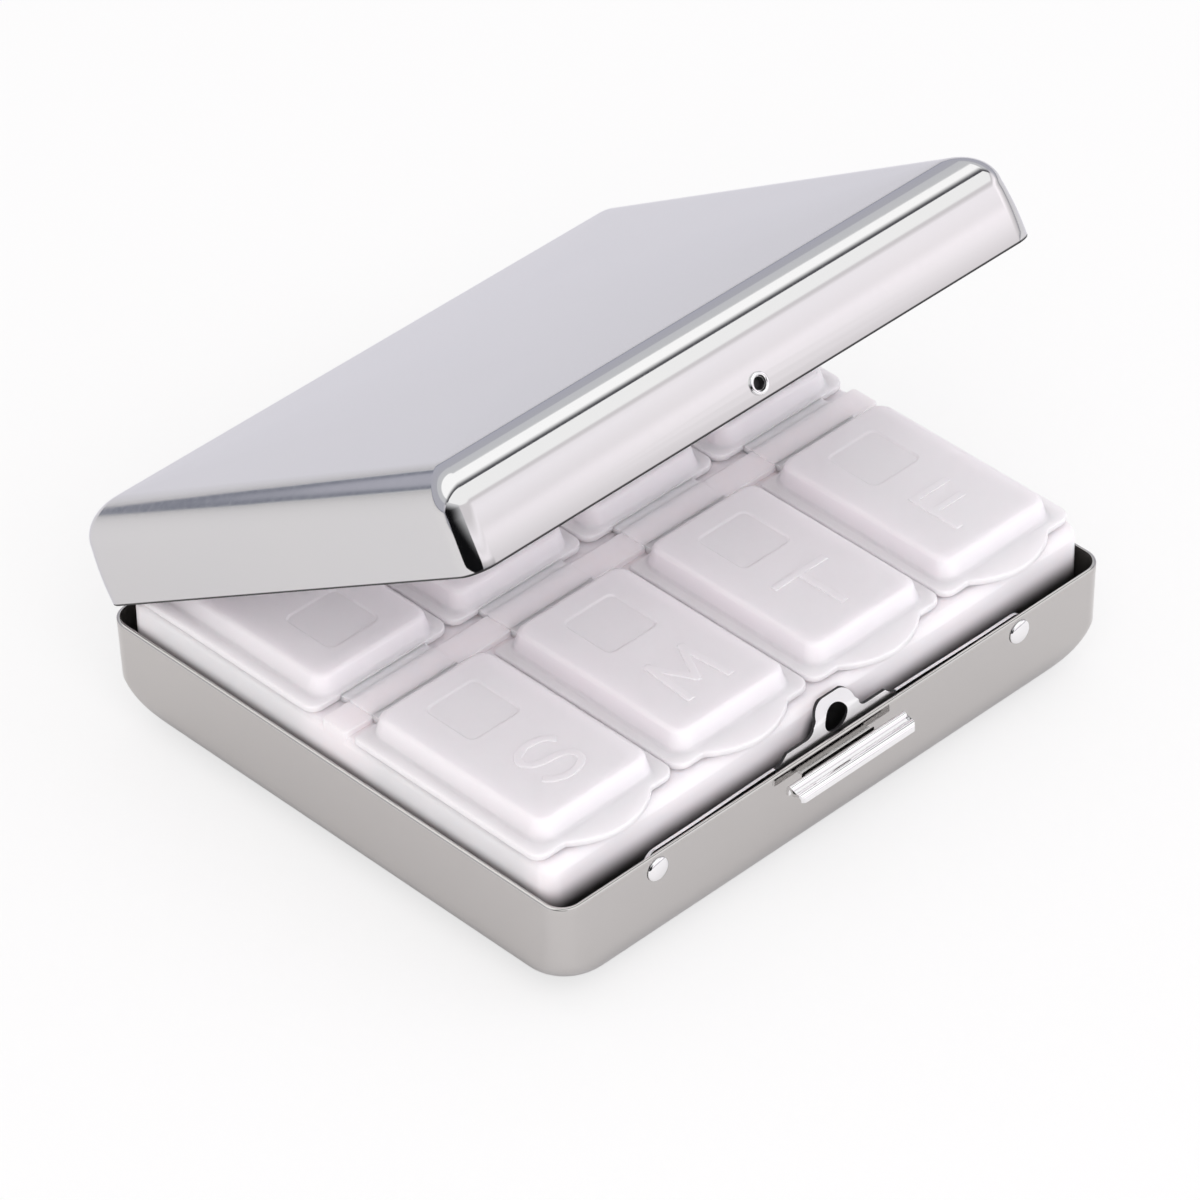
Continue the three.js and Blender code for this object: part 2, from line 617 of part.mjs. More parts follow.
// One bin as the solid that is taken out of the insert.
function binSolid(column, row) {
  const leftWall = column === 0 ? BIN_WALL : BIN_WALL / 2;
  const rightWall = column === BIN_COLUMNS - 1 ? BIN_WALL : BIN_WALL / 2;
  const halfX = (BIN_PITCH - leftWall - rightWall) / 2;
  const halfY = (INSERT_HALF_WIDTH - BIN_LONG_WALL - BIN_SPINE / 2) / 2;
  const centreX = columnCentre(column) + (leftWall - rightWall) / 2;
  const centreY = row * (BIN_SPINE / 2 + halfY);
  const edge = INSERT_EDGE - BIN_WALL;
  const rings = dishEdge(edge, INSERT_FLOOR + BIN_WALL).map(({ inset, z }) =>
    roundedRing(halfX - inset, halfY - inset, BIN_CORNER, z, centreX, centreY),
  );
  rings.push(roundedRing(halfX, halfY, BIN_CORNER, INSERT_TOP + CUT_MARGIN, centreX, centreY));
  return solidOf(loft(rings));
}

// Insert with its eight bins, the spine between the rows and the thin webs that the flaps bend at.
function insertSolid() {
  const rings = dishEdge(INSERT_EDGE, INSERT_FLOOR).map(({ inset, z, turn }) => {
    const corner = INSERT_CORNER + (INSERT_BASE_CORNER - INSERT_CORNER) * turn;
    return roundedRing(INSERT_HALF_LENGTH - inset, INSERT_HALF_WIDTH - inset, corner, z);
  });
  for (let step = 0; step <= SMALL_STEPS; step++) {
    const angle = ((Math.PI / 2) * step) / SMALL_STEPS;
    const inset = INSERT_TOP_ROUND * (1 - Math.cos(angle));
    const z = INSERT_TOP - INSERT_TOP_ROUND * (1 - Math.sin(angle));
    const corner = INSERT_CORNER - inset;
    rings.push(roundedRing(INSERT_HALF_LENGTH - inset, INSERT_HALF_WIDTH - inset, corner, z));
  }
  let insert = solidOf(loft(rings));
  for (let column = 0; column < BIN_COLUMNS; column++) {
    for (const row of [-1, 1]) {
      insert = insert.subtract(binSolid(column, row));
    }
  }
  const half = SPINE_TOP_HALF_WIDTH;
  const root = INSERT_TOP - BIN_WALL;
  const length = INSERT_HALF_LENGTH;
  insert = insert.add(solidOf(box(-length, length, -half, half, root, FLANGE_TOP - SPINE_PANEL_STEP)));
  const webReach = HINGE_LINE_Y + WEB_OVERSHOOT;
  for (let column = 0; column < BIN_COLUMNS; column++) {
    const minX = columnCentre(column) - WEB_HALF_LENGTH;
    const maxX = columnCentre(column) + WEB_HALF_LENGTH;
    const panel = box(minX, maxX, -half, half, root, FLANGE_TOP);
    const webBottom = FLAP_AXIS_Z - WEB_THICKNESS / 2;
    const web = box(minX, maxX, -webReach, webReach, webBottom, webBottom + WEB_THICKNESS);
    insert = insert.add(solidOf(panel)).add(solidOf(web));
  }
  return insert;
}

// Outline of a flange with its thumb lip, an arc. The bending line lies along X at zero.
function flangeOutline(left, right, hingeCorner) {
  const rear = -FLANGE_REAR_GAP;
  const front = -FLANGE_FRONT;
  const radius = FLANGE_CORNER;
  const shape = new THREE.Shape();
  shape.absarc(right - hingeCorner, rear - hingeCorner, hingeCorner, 0, Math.PI / 2);
  shape.absarc(-left + hingeCorner, rear - hingeCorner, hingeCorner, Math.PI / 2, Math.PI);
  shape.absarc(-left + radius, front + radius, radius, Math.PI, Math.PI * 1.5);
  const lipRadius = (LIP_HALF_WIDTH ** 2 + LIP_REACH ** 2) / (2 * LIP_REACH);
  const lipHalfAngle = Math.asin(LIP_HALF_WIDTH / lipRadius);
  const steps = 4 * SMALL_STEPS;
  for (let step = 0; step <= steps; step++) {
    const angle = lipHalfAngle * ((2 * step) / steps - 1);
    const y = front - LIP_REACH + lipRadius * (1 - Math.cos(angle));
    shape.lineTo(lipRadius * Math.sin(angle), y);
  }
  shape.absarc(right - radius, front + radius, radius, -Math.PI / 2, 0);
  shape.closePath();
  return shape;
}

// One flap, front row, about its own bending line.
function flapSolid(left, right, hingeCorner) {
  const middle = FLANGE_THICKNESS / 2;
  const top = middle + PLATEAU_HEIGHT;
  const halfX = PLATEAU_WIDTH / 2;
  const halfY = (PLATEAU_FRONT - PLATEAU_REAR) / 2;
  const centreY = -(PLATEAU_FRONT + PLATEAU_REAR) / 2;
  const cap = (offset, bottom) => {
    const spread = PLATEAU_DRAFT - offset;
    const corner = PLATEAU_CORNER - offset;
    const edge = PLATEAU_EDGE - offset / 2;
    const roof = top - offset;
    const rings = [
      roundedRing(halfX + spread, halfY + spread, corner, bottom, 0, centreY),
      roundedRing(halfX - offset, halfY - offset, corner, roof - edge, 0, centreY),
    ];
    for (let step = 1; step <= SMALL_STEPS; step++) {
      const angle = ((Math.PI / 2) * step) / SMALL_STEPS;
      const inset = offset + edge * (1 - Math.cos(angle));
      const z = roof - edge * (1 - Math.sin(angle));
      rings.push(roundedRing(halfX - inset, halfY - inset, corner, z, 0, centreY));
    }
    return solidOf(loft(rings));
  };
  const window = roundedRectangle(
    -WINDOW_SIZE / 2,
    WINDOW_SIZE / 2,
    -WINDOW_REAR - WINDOW_SIZE,
    -WINDOW_REAR,
    WINDOW_CORNER,
  );
  return solidOf(prism(flangeOutline(left, right, hingeCorner), -middle, FLANGE_THICKNESS))
    .add(cap(0, 0))
    .subtract(cap(PLATEAU_WALL, -middle - CUT_MARGIN))
    .subtract(solidOf(prism(window, top - WINDOW_DEPTH, CUT_MARGIN)));
}

function flapMesh(column, row) {
  const inner = (BIN_PITCH - FLAP_SIDE_GAP) / 2;
  const outer = BIN_PITCH / 2 + FLANGE_OVERHANG;
  const left = column === 0 ? outer : inner;
  const right = column === BIN_COLUMNS - 1 ? outer : inner;
  const inFront = row < 0;
  const solid = inFront
    ? flapSolid(left, right, FRONT_ROW_HINGE_CORNER)
    : flapSolid(right, left, FLANGE_CORNER);
  const name = (inFront ? "flap_front_" : "flap_back_") + (column + 1);
  const mesh = meshOf(name, solid, FLAP_PLASTIC);
  mesh.position.set(columnCentre(column), row * HINGE_LINE_Y, FLAP_AXIS_Z);
  mesh.rotation.z = inFront ? 0 : Math.PI;
  return mesh;
}

// The case, its catch and its insert, all fixed to the tray.
const pillCase = new THREE.Group();
pillCase.add(meshOf("tray_shell", traySolid(), METAL));
pillCase.add(meshOf("tray_hinge_leaf", hingeLeafSolid(-1, 0), METAL));
pillCase.add(meshOf("hinge_pin", hingePinSolid(), BRIGHT_METAL));
pillCase.add(meshOf("spring_arm_left", springArmSolid(-1), BRIGHT_METAL));
pillCase.add(meshOf("spring_arm_right", springArmSolid(1), BRIGHT_METAL));
pillCase.add(meshOf("latch_tongue", latchTongueSolid(), BRIGHT_METAL));
pillCase.add(meshOf("thumb_piece", thumbPieceSolid(), BRIGHT_METAL));
pillCase.add(meshOf("latch_rivet_left", rivetSolid(-1), BRIGHT_METAL));
pillCase.add(meshOf("latch_rivet_right", rivetSolid(1), BRIGHT_METAL));
pillCase.add(meshOf("pill_insert", insertSolid(), INSERT_PLASTIC));
for (const row of [-1, 1]) {
  for (let column = 0; column < BIN_COLUMNS; column++) {
    pillCase.add(flapMesh(column, row));
  }
}

// The lid and what is fixed to it, swung open about the hinge pin.
const lid = new THREE.Group();
lid.position.set(0, HINGE_Y, HINGE_Z);
lid.rotation.x = THREE.MathUtils.degToRad(-LID_OPEN_ANGLE);
const lidParts = [
  meshOf("lid_shell", lidSolid(), METAL),
  meshOf("lid_hinge_leaf", hingeLeafSolid(1, 1), METAL),
  meshOf("catch_stud", catchStudSolid(), BRIGHT_METAL),
];
for (const part of lidParts) {
  part.position.set(0, -HINGE_Y, -HINGE_Z);
  lid.add(part);
}
pillCase.add(lid);

export default pillCase;
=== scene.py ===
import json
import math

import bmesh
import bpy
from mathutils import Matrix, Vector


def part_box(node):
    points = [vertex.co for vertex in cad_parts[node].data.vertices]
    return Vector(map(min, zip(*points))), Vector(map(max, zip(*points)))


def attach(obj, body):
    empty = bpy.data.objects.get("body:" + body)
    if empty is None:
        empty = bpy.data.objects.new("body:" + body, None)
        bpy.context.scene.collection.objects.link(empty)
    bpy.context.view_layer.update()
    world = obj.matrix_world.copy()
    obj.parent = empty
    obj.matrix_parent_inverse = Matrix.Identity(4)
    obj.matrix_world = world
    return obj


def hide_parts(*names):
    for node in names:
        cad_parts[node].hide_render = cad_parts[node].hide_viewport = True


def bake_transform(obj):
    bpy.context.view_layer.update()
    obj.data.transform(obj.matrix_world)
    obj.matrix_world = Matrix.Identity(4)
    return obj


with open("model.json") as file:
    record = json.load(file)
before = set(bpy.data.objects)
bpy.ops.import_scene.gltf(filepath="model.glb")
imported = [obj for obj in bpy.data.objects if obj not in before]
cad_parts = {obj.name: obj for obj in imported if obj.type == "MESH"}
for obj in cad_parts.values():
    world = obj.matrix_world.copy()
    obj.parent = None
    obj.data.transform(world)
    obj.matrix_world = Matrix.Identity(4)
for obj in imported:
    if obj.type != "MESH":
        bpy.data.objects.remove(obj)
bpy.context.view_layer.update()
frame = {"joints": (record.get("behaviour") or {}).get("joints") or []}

MM = 0.001
joints = {joint["name"]: joint for joint in frame["joints"]}


def box_mm(node):
    low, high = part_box(node)
    return low / MM, high / MM


# Sizes that the frame gives
TRAY_LOW, TRAY_HIGH = box_mm("tray_shell")
INSERT_LOW, INSERT_HIGH = box_mm("pill_insert")
THUMB_LOW, THUMB_HIGH = box_mm("thumb_piece")
HINGE_POINT = Vector(joints["lid_hinge"]["pos_m"]) / MM
LID_OPEN = math.radians(-joints["lid_hinge"]["range_deg"][0])
HALF_LENGTH = TRAY_HIGH.x
HALF_WIDTH = TRAY_HIGH.y
RIM_Z = TRAY_HIGH.z
FRONT_FACE = TRAY_LOW.y

# Pressed sheet-metal case
SHEET = 0.5
TRAY_LEANS = (0.02, 0.02)
TRAY_RIM_CORNER = 3.0
TRAY_BASE_CORNER = 9.9
TRAY_EDGE = 7.4
TRAY_RIM_SLOPE = 0.36
TRAY_RIM_ROUND = 0.1
LID_HEIGHT = 12.5
LID_LEANS = (0.105, -0.035)
LID_RIM_CORNER = 3.2
LID_TOP_CORNER = 0.7
LID_EDGE = 5.2
LID_CROWN = 0.45
CROWN_REACH = 0.94
CROWN_CORNER = 0.8
LEAST_CORNER = 0.02
LID_RIM_ROUND = 0.15
CLOSED_RIM_GAP = 0.3
SEAT_GAP = 0.2
SLIDE_GAP = 0.3
FRONT_INSIDE = FRONT_FACE + SHEET

# Hinge behind the rear walls
HINGE_LENGTH = 60.0
HINGE_KNUCKLES = 5
KNUCKLE_GAP = 0.3
KNUCKLE_RADIUS = 0.85
LEAF_THICKNESS = 0.35
LEAF_REACH = 5.0
LEAF_SET_BACK = 0.05
LEAF_CORNER = 0.8
PIN_RADIUS = 0.4
PIN_HEAD_RADIUS = 0.65
PIN_HEAD_LENGTH = 0.4
WELD_RADIUS = 0.9
WELD_DEPTH = 0.1
WELD_PLACES = (-25.0, -15.0, -5.0, 5.0, 15.0, 25.0)

# Sprung catch in the front wall
BAR_THICKNESS = 0.4
BAR_HALF_LENGTH = 31.3
BAR_DEPTH = 5.8
BAR_END_RADIUS = 1.8
BAR_BOW = 0.4
BAR_SEAT_START = 26.0
BAR_FLAT_HALF = 10.0
SHOULDER_HALF_WIDTH = 8.1
SHOULDER_HEIGHT = 1.2
TONGUE_WIDTH = 7.4
TONGUE_TOP_WIDTH = 6.4
TONGUE_HEIGHT = 5.0
TONGUE_CORNER = 2.1
TONGUE_FLARE = 1.2
TONGUE_BEND_HEIGHT = 2.6
TONGUE_BEND_ANGLE = math.radians(26.0)
CATCH_HOLE_RADIUS = 1.85
CATCH_HOLE_HEIGHT = 1.85
METAL_BEVEL = 0.07
BAR_MIDDLE_FRONT = FRONT_INSIDE + BAR_BOW
BAR_END_FRONT = FRONT_INSIDE + SEAT_GAP
RIVET_X = 29.9
RIVET_Z = RIM_Z - 2.2
RIVET_HEAD_RADIUS = 1.6
RIVET_HEAD_HEIGHT = 0.6
RIVET_SHANK_RADIUS = 0.8
RIVET_TAIL_RADIUS = 1.3
RIVET_TAIL_HEIGHT = 0.4
RIVET_FIT = 0.02

# Ribbed thumb piece. Its wave is drawn by shares of its depth and of a rib's height.
THUMB_SHEET = 0.4
THUMB_DEPTH = 2.7
THUMB_RIB_HEIGHT = 0.5
THUMB_FLANGE_HEIGHT = 0.8
THUMB_STAND_OFF = 0.9
THUMB_Z = RIM_Z - 1.8
THUMB_SLOPE = 0.3
THUMB_CORNER = 1.2
THUMB_WAVE = (
    (0.0, -0.5), (0.05, 0.45), (0.14, 0.9), (0.28, 0.7), (0.42, -0.25), (0.58, 0.25), (0.8, 0.5),
    (0.96, 0.0), (1.0, -1.0),
)
TAB_WIDTH = 11.4
THUMB_CENTRE_X = (THUMB_LOW.x + THUMB_HIGH.x) / 2
TAB_Z = THUMB_Z - THUMB_FLANGE_HEIGHT

# Hollow stud in the lid
STUD_Z = RIM_Z + CLOSED_RIM_GAP + 2.1
STUD_FLANGE_RADIUS = 1.35
STUD_FLANGE_THICKNESS = 0.35
STUD_NECK_RADIUS = 0.8
STUD_NOSE_RADIUS = 1.1
STUD_MOUTH_RADIUS = 0.9
STUD_BORE_RADIUS = 0.7
STUD_BORE_DEPTH = 1.2
STUD_MOUTH_DEPTH = 0.6
STUD_FLANGE_SHIFT = 0.15
STUD_FIT = 0.01
STUD_ENGAGEMENT = 0.6

# Plastic insert
INSERT_HALF_LENGTH = INSERT_HIGH.x
INSERT_HALF_WIDTH = 35.6
INSERT_FLOOR = INSERT_LOW.z
INSERT_TOP = RIM_Z + 3.9
INSERT_CORNER = 2.0
INSERT_EDGE = 6.6
INSERT_BASE_CORNER = 9.1
INSERT_TOP_ROUND = (0.75, 1.3)
BIN_MOUTH_ROUND = 0.2
BIN_COLUMNS = 4
BIN_WALL = 1.0
BIN_LONG_WALL = 2.4
BIN_CORNER = 3.0
BIN_SPINE = 9.0
BIN_PITCH = 2 * INSERT_HALF_LENGTH / BIN_COLUMNS
HINGE_LINE_Y = 3.0
SPINE_TOP_HALF_WIDTH = 2.05
SPINE_CORNER = 0.5
SPINE_ROUND = 0.15
SPINE_PANEL_STEP = 0.25
PANEL_HALF_LENGTH = 6.7
PANEL_CORNER = 0.3
PANEL_ROUND = 0.12
WEB_HALF_LENGTH = 6.65
WEB_BOTTOM_STEP = 1.05
WEB_OVERLAP = 0.3
WEB_STEPS = 24
WEB_TOP_STEP = {-1: 0.04, 1: 0.22}

# Flaps over the bins
FLAP_SIDE_GAP = 0.3
FLANGE_THICKNESS = 0.8
FLANGE_BOTTOM = INSERT_TOP + 0.3
FLANGE_TOP = FLANGE_BOTTOM + FLANGE_THICKNESS
FLAP_AXIS_Z = FLANGE_BOTTOM + FLANGE_THICKNESS / 2
FLANGE_OVERHANG = 0.1
FLANGE_REAR_GAP = 0.4
FLANGE_FRONT = INSERT_HALF_WIDTH - 1.6 - HINGE_LINE_Y
FLANGE_FRONT_CORNER = 1.75
FLANGE_HINGE_CORNER = {-1: 0.6, 1: 1.75}
FLANGE_ROUND = 0.22
LIP_HALF_WIDTH = 6.8
LIP_REACH = 2.65
LIP_FILLET = 0.8
PLATEAU_WIDTH = 17.6
PLATEAU_REAR = 1.4
PLATEAU_FRONT = FLANGE_FRONT - 1.8
PLATEAU_HEIGHT = 2.55
PLATEAU_DRAFT = 0.4
PLATEAU_CORNER = 1.8
PLATEAU_EDGE = 0.7
PLATEAU_FOOT = 0.55
PLATEAU_WALL = 1.3
WINDOW_SIZE = 8.0
WINDOW_CORNER = 1.0
WINDOW_DEPTH = 0.15
WINDOW_REAR = 4.9
WINDOW_SOFTNESS = 0.2
LETTER_CENTRE = 21.5
LETTER_STROKE = 1.0
LETTER_RAISE = 0.16
LETTER_ROOT = 0.3
LETTER_ROUND = 0.7

# Block letters: lines through the middles of their strokes, which are 7 mm tall. The S is two bows.
LETTER_LINES = {
    "M": [[(-3.2, -3.5), (-2.7, 3.5), (0.0, -1.5), (2.7, 3.5), (3.2, -3.5)]],
    "W": [[(-3.6, 3.5), (-1.8, -3.5), (0.0, 2.0), (1.8, -3.5), (3.6, 3.5)]],
    "T": [[(-3.75, 3.5), (3.75, 3.5)], [(0.0, 3.5), (0.0, -3.5)]],
    "F": [[(-2.6, -3.5), (-2.6, 3.5), (2.6, 3.5)], [(-2.6, 0.3), (1.9, 0.3)]],
    "+": [[(-3.0, 0.0), (3.0, 0.0)], [(0.0, -3.0), (0.0, 3.0)]],
}
S_HALF_WIDTH = 2.9
S_BOW = 1.75

# Fineness of the curves
CORNER_STEPS = 14
EDGE_STEPS = 24
WALL_STEPS = 8
CROWN_STEPS = 12
ROLL_STEPS = 8
FILLET_STEPS = 6
ROUND_SIDES = 64
SHARP_ANGLE = math.radians(32.0)

# Painted shade for metal edges, rims and hollows, and the painted shade of the catch, in millimetres
PAINTED_SHADE = (0.012, 0.012, 0.013)
DARK_RIM_START = 0.22
DARK_RIM_END = 0.36
CATCH_SHADE_X = 0.9
CATCH_SHADE_DROP = 0.6
CATCH_SHADE_CORE = 0.55
CATCH_SHADE_REACH = 5.0

# Milky plastic: how far light spreads inside it, in metres, and how strongly it bends light
SCATTER_DEPTH = 0.0026
PLASTIC_IOR = 1.49

# Light: even fill, a warm softbox at the camera's left, a cool one low at the front right, one overhead
FILL_COLOUR = (1.0, 0.98, 0.985)
FILL_STRENGTH = 0.72
SOFTBOXES = (
    ("left_softbox", (-0.7, -0.95, 1.2), 1.2, 1.2, 12.0, (1.0, 0.95, 0.955)),
    ("front_softbox", (0.62, -0.95, 0.55), 1.1, 0.9, 2.5, (0.80, 0.86, 1.0)),
    ("top_softbox", (0.1, 0.2, 1.4), 1.2, 1.2, 1.0, (1.0, 1.0, 1.0)),
)
WHITE = (1.0, 1.0, 1.0)

# Table top, in metres, and how much of it shows as even white to the camera
TABLE_HALF_SIZE = 3.0
TABLE_DROP = 0.0001
TABLE_GLOW = 0.7

# What polished metal mirrors: greys by the sine of their height above the table, as shares of the strength
MIRROR_STRENGTH = 1.45
REAR_WALL = (
    (-0.02, (0.70, 0.70, 0.70)), (-0.008, (0.20, 0.21, 0.25)), (0.01, (0.20, 0.21, 0.25)),
    (0.03, (0.41, 0.41, 0.46)), (0.48, (0.42, 0.42, 0.46)), (0.50, (0.54, 0.545, 0.57)),
    (0.72, (0.56, 0.565, 0.58)), (0.74, (1.0, 1.0, 1.0)),
)
FRONT_WALL = (
    (-0.02, (0.70, 0.70, 0.70)), (-0.005, (0.25, 0.25, 0.28)), (0.10, (0.55, 0.53, 0.54)),
    (0.19, (0.68, 0.65, 0.67)), (0.27, (0.89, 0.85, 0.88)), (0.305, (0.99, 0.94, 0.98)),
    (0.335, (0.88, 0.84, 0.87)), (0.40, (1.0, 0.96, 1.0)), (0.50, (0.72, 0.69, 0.71)),
    (0.55, (0.72, 0.69, 0.71)), (0.60, (1.0, 1.0, 1.0)),
)
CEILING_GAP = (0.09, -0.12, -0.165)
CEILING_GAP_PAINT = (0.08, 0.08, 0.09)
LIT_WALL_DIRECTION = (0.82, -0.57)

# A dark card beside the case, black up to one height and pale at its top, in metres
CARD_PLACE = (-0.82, -0.57)
CARD_DISTANCE = 0.27
CARD_HALF_WIDTH = 0.13
CARD_HEIGHT = 0.26
CARD_BLACK_HEIGHT = 0.11
CARD_BLACK = (0.006, 0.006, 0.007)
CARD_PALE = (0.9, 0.9, 0.92)

# Where the photograph was taken from, in metres, and how it frames the case
PHOTO_SIZE = 1200
PHOTO_FOCAL_PIXELS = 7378.3
SENSOR_MM = 36.0
CAMERA_PLACE = Vector((-0.469433, -0.495443, 0.560312))
CAMERA_AIM = Vector((0.002831, 0.004354, 0.010))
CAMERA_ROLL = -0.0254


def place_camera():
    data = bpy.data.cameras.new("photo_camera")
    data.sensor_width = SENSOR_MM
    data.lens = PHOTO_FOCAL_PIXELS / PHOTO_SIZE * SENSOR_MM
    data.clip_start = 0.01
    camera = bpy.data.objects.new("photo_camera", data)
    bpy.context.scene.collection.objects.link(camera)
    forward = (CAMERA_AIM - CAMERA_PLACE).normalized()
    level_right = forward.cross(Vector((0, 0, 1))).normalized()
    level_up = level_right.cross(forward)
    right = math.cos(CAMERA_ROLL) * level_right + math.sin(CAMERA_ROLL) * level_up
    up = math.cos(CAMERA_ROLL) * level_up - math.sin(CAMERA_ROLL) * level_right
    turn = Matrix((right, up, -forward)).transposed()
    camera.matrix_world = Matrix.Translation(CAMERA_PLACE) @ turn.to_4x4()
    bpy.context.scene.camera = camera


# Rings, lofts and other closed shapes

def quarter_round(steps):
    """Both legs of a quarter round of radius one, step by step: one rises from nought, one falls to it."""
    angles = [math.pi / 2 * step / steps for step in range(steps + 1)]
    return [(1 - math.cos(angle), 1 - math.sin(angle)) for angle in angles]


def rounded_ring(half_x, half_y, radius, z, centre=(0.0, 0.0)):
    ring = []
    for side_x, side_y, turn in ((1, -1, -0.5), (1, 1, 0.0), (-1, 1, 0.5), (-1, -1, 1.0)):
        for step in range(CORNER_STEPS + 1):
            angle = math.pi * (turn + 0.5 * step / CORNER_STEPS)
            x = side_x * (half_x - radius) + radius * math.cos(angle)
            y = side_y * (half_y - radius) + radius * math.sin(angle)
            ring.append(Vector((centre[0] + x, centre[1] + y, z)))
    return ring


def grown_ring(half_x, half_y, corner, grow, z, centre=(0.0, 0.0)):
    return rounded_ring(half_x + grow, half_y + grow, corner + grow, z, centre)


def loft(rings):
    """A closed surface through a stack of rings, flat across the first and the last."""
    shape = bmesh.new()
    rows = [[shape.verts.new(point) for point in ring] for ring in rings]
    count = len(rows[0])
    for below, above in zip(rows, rows[1:]):
        for i in range(count):
            j = (i + 1) % count
            shape.faces.new((below[i], below[j], above[j], above[i]))
    shape.faces.new(list(reversed(rows[0])))
    shape.faces.new(rows[-1])
    return tidied(shape)


def tidied(shape):
    bmesh.ops.remove_doubles(shape, verts=shape.verts, dist=1e-4)
    bmesh.ops.dissolve_degenerate(shape, edges=shape.edges, dist=1e-5)
    bmesh.ops.recalc_face_normals(shape, faces=shape.faces)
    return shape


def moved(shape, matrix):
    bmesh.ops.transform(shape, matrix=matrix, verts=shape.verts)
    return shape


def combine(base, tool, operation):
    """Two closed shapes joined, cut or kept where they overlap, as one closed shape."""
    pair = []
    for shape in (base, tool):
        mesh = bpy.data.meshes.new("scratch")
        shape.to_mesh(mesh)
        shape.free()
        obj = bpy.data.objects.new("scratch", mesh)
        bpy.context.scene.collection.objects.link(obj)
        pair.append(obj)
    modifier = pair[0].modifiers.new("combine", "BOOLEAN")
    modifier.operation = operation
    modifier.solver = "MANIFOLD"
    modifier.object = pair[1]
    view = bpy.context.evaluated_depsgraph_get()
    mesh = bpy.data.meshes.new_from_object(pair[0].evaluated_get(view))
    result = bmesh.new()
    result.from_mesh(mesh)
    for obj in pair:
        old = obj.data
        bpy.data.objects.remove(obj)
        bpy.data.meshes.remove(old)
    bpy.data.meshes.remove(mesh)
    return tidied(result)


def joined(base, *tools):
    for tool in tools:
        base = combine(base, tool, "UNION")
    return base


def cut(base, *tools):
    for tool in tools:
        base = combine(base, tool, "DIFFERENCE")
    return base


def inset_outline(points, distance):
    """A flat anticlockwise outline moved inwards by a distance."""
    count = len(points)
    moved_points = []
    for i, point in enumerate(points):
        before = (point - points[i - 1]).normalized()
        after = (points[(i + 1) % count] - point).normalized()
        first = Vector((-before.y, before.x))
        second = Vector((-after.y, after.x))
        middle = (first + second).normalized()
        reach = distance / max(0.3, middle.dot(first))
        moved_points.append(point + middle * reach)
    return moved_points


def plate(outline, low, high, round_top=0.0, round_bottom=0.0):
    """An outline in X and Y as a plate whose top and bottom edges may be rounded."""
    outline = without_repeats(outline)
    curve = quarter_round(FILLET_STEPS)
    levels = [(0.0, low)]
    if round_bottom:
        levels = [(round_bottom * fall, low + round_bottom * rise) for rise, fall in curve]
    if round_top:
        levels += [(round_top * rise, high - round_top * fall) for rise, fall in curve]
    else:
        levels.append((0.0, high))
    rings = []
    for inset, z in levels:
        points = inset_outline(outline, inset) if inset > 1e-6 else outline
        rings.append([Vector((p.x, p.y, z)) for p in points])
    return loft(rings)


def arc(centre, radius, start, end, steps):
    """Points on a round stretch of an outline, from one angle to another in degrees."""
    points = []
    for step in range(steps + 1):
        angle = math.radians(start + (end - start) * step / steps)
        points.append(Vector((centre[0] + radius * math.cos(angle), centre[1] + radius * math.sin(angle))))
    return points


def rounded_rectangle(min_x, max_x, min_y, max_y, radius):
    left, right = min_x + radius, max_x - radius
    low, high = min_y + radius, max_y - radius
    outline = []
    for x, y, start in ((right, low, -90), (right, high, 0), (left, high, 90), (left, low, 180)):
        outline += arc((x, y), radius, start, start + 90, CORNER_STEPS)
    return outline


def without_repeats(outline):
    kept = []
    for point in outline:
        if not kept or (point - kept[-1]).length > 1e-4:
            kept.append(point)
    if (kept[0] - kept[-1]).length < 1e-4:
        kept.pop()
    return kept


def upright(shape, y):
    """Turns a shape drawn in X and Y so that its Y runs up and its height runs back from a plane."""
    turn = Matrix(((1, 0, 0, 0), (0, 0, 1, y), (0, 1, 0, 0), (0, 0, 0, 1)))
    return tidied(moved(shape, turn))


def strip(centres, thickness):
    """The outline of a strip of even thickness along a centre line."""
    left = []
    right = []
    for i, point in enumerate(centres):
        before = centres[max(i - 1, 0)]
        after = centres[min(i + 1, len(centres) - 1)]
        along = (after - before).normalized()
        across = Vector((-along.y, along.x)) * thickness / 2
        left.append(point + across)
        right.append(point - across)
    return right + list(reversed(left))


def bar_along_x(section, min_x, max_x):
    """A section drawn in Y and Z, run along X."""
    rings = [[Vector((x, p.x, p.y)) for p in section] for x in (min_x, max_x)]
    return loft(rings)


def turned(profile, axis_point, direction, sides=ROUND_SIDES):
    """A profile of (radius, distance along the axis) turned round an axis."""
    along = Vector(direction).normalized()
    first = along.orthogonal().normalized()
    second = along.cross(first)
    shape = bmesh.new()
    rows = []
    for radius, distance in profile:
        centre = Vector(axis_point) + along * distance
        if radius < 1e-6:
            rows.append([shape.verts.new(centre)])
            continue
        row = []
        for side in range(sides):
            angle = 2 * math.pi * side / sides
            spoke = math.cos(angle) * first + math.sin(angle) * second
            row.append(shape.verts.new(centre + radius * spoke))
        rows.append(row)
    for near, far in zip(rows, rows[1:]):
        for i in range(sides):
            j = (i + 1) % sides
            corners = [near[i % len(near)], near[j % len(near)], far[j % len(far)], far[i % len(far)]]
            unique = list(dict.fromkeys(corners))
            if len(unique) > 2:
                shape.faces.new(unique)
    return tidied(shape)


def rod(axis_point, direction, radius, length):
    return turned([(0, 0), (radius, 0), (radius, length), (0, length)], axis_point, direction)


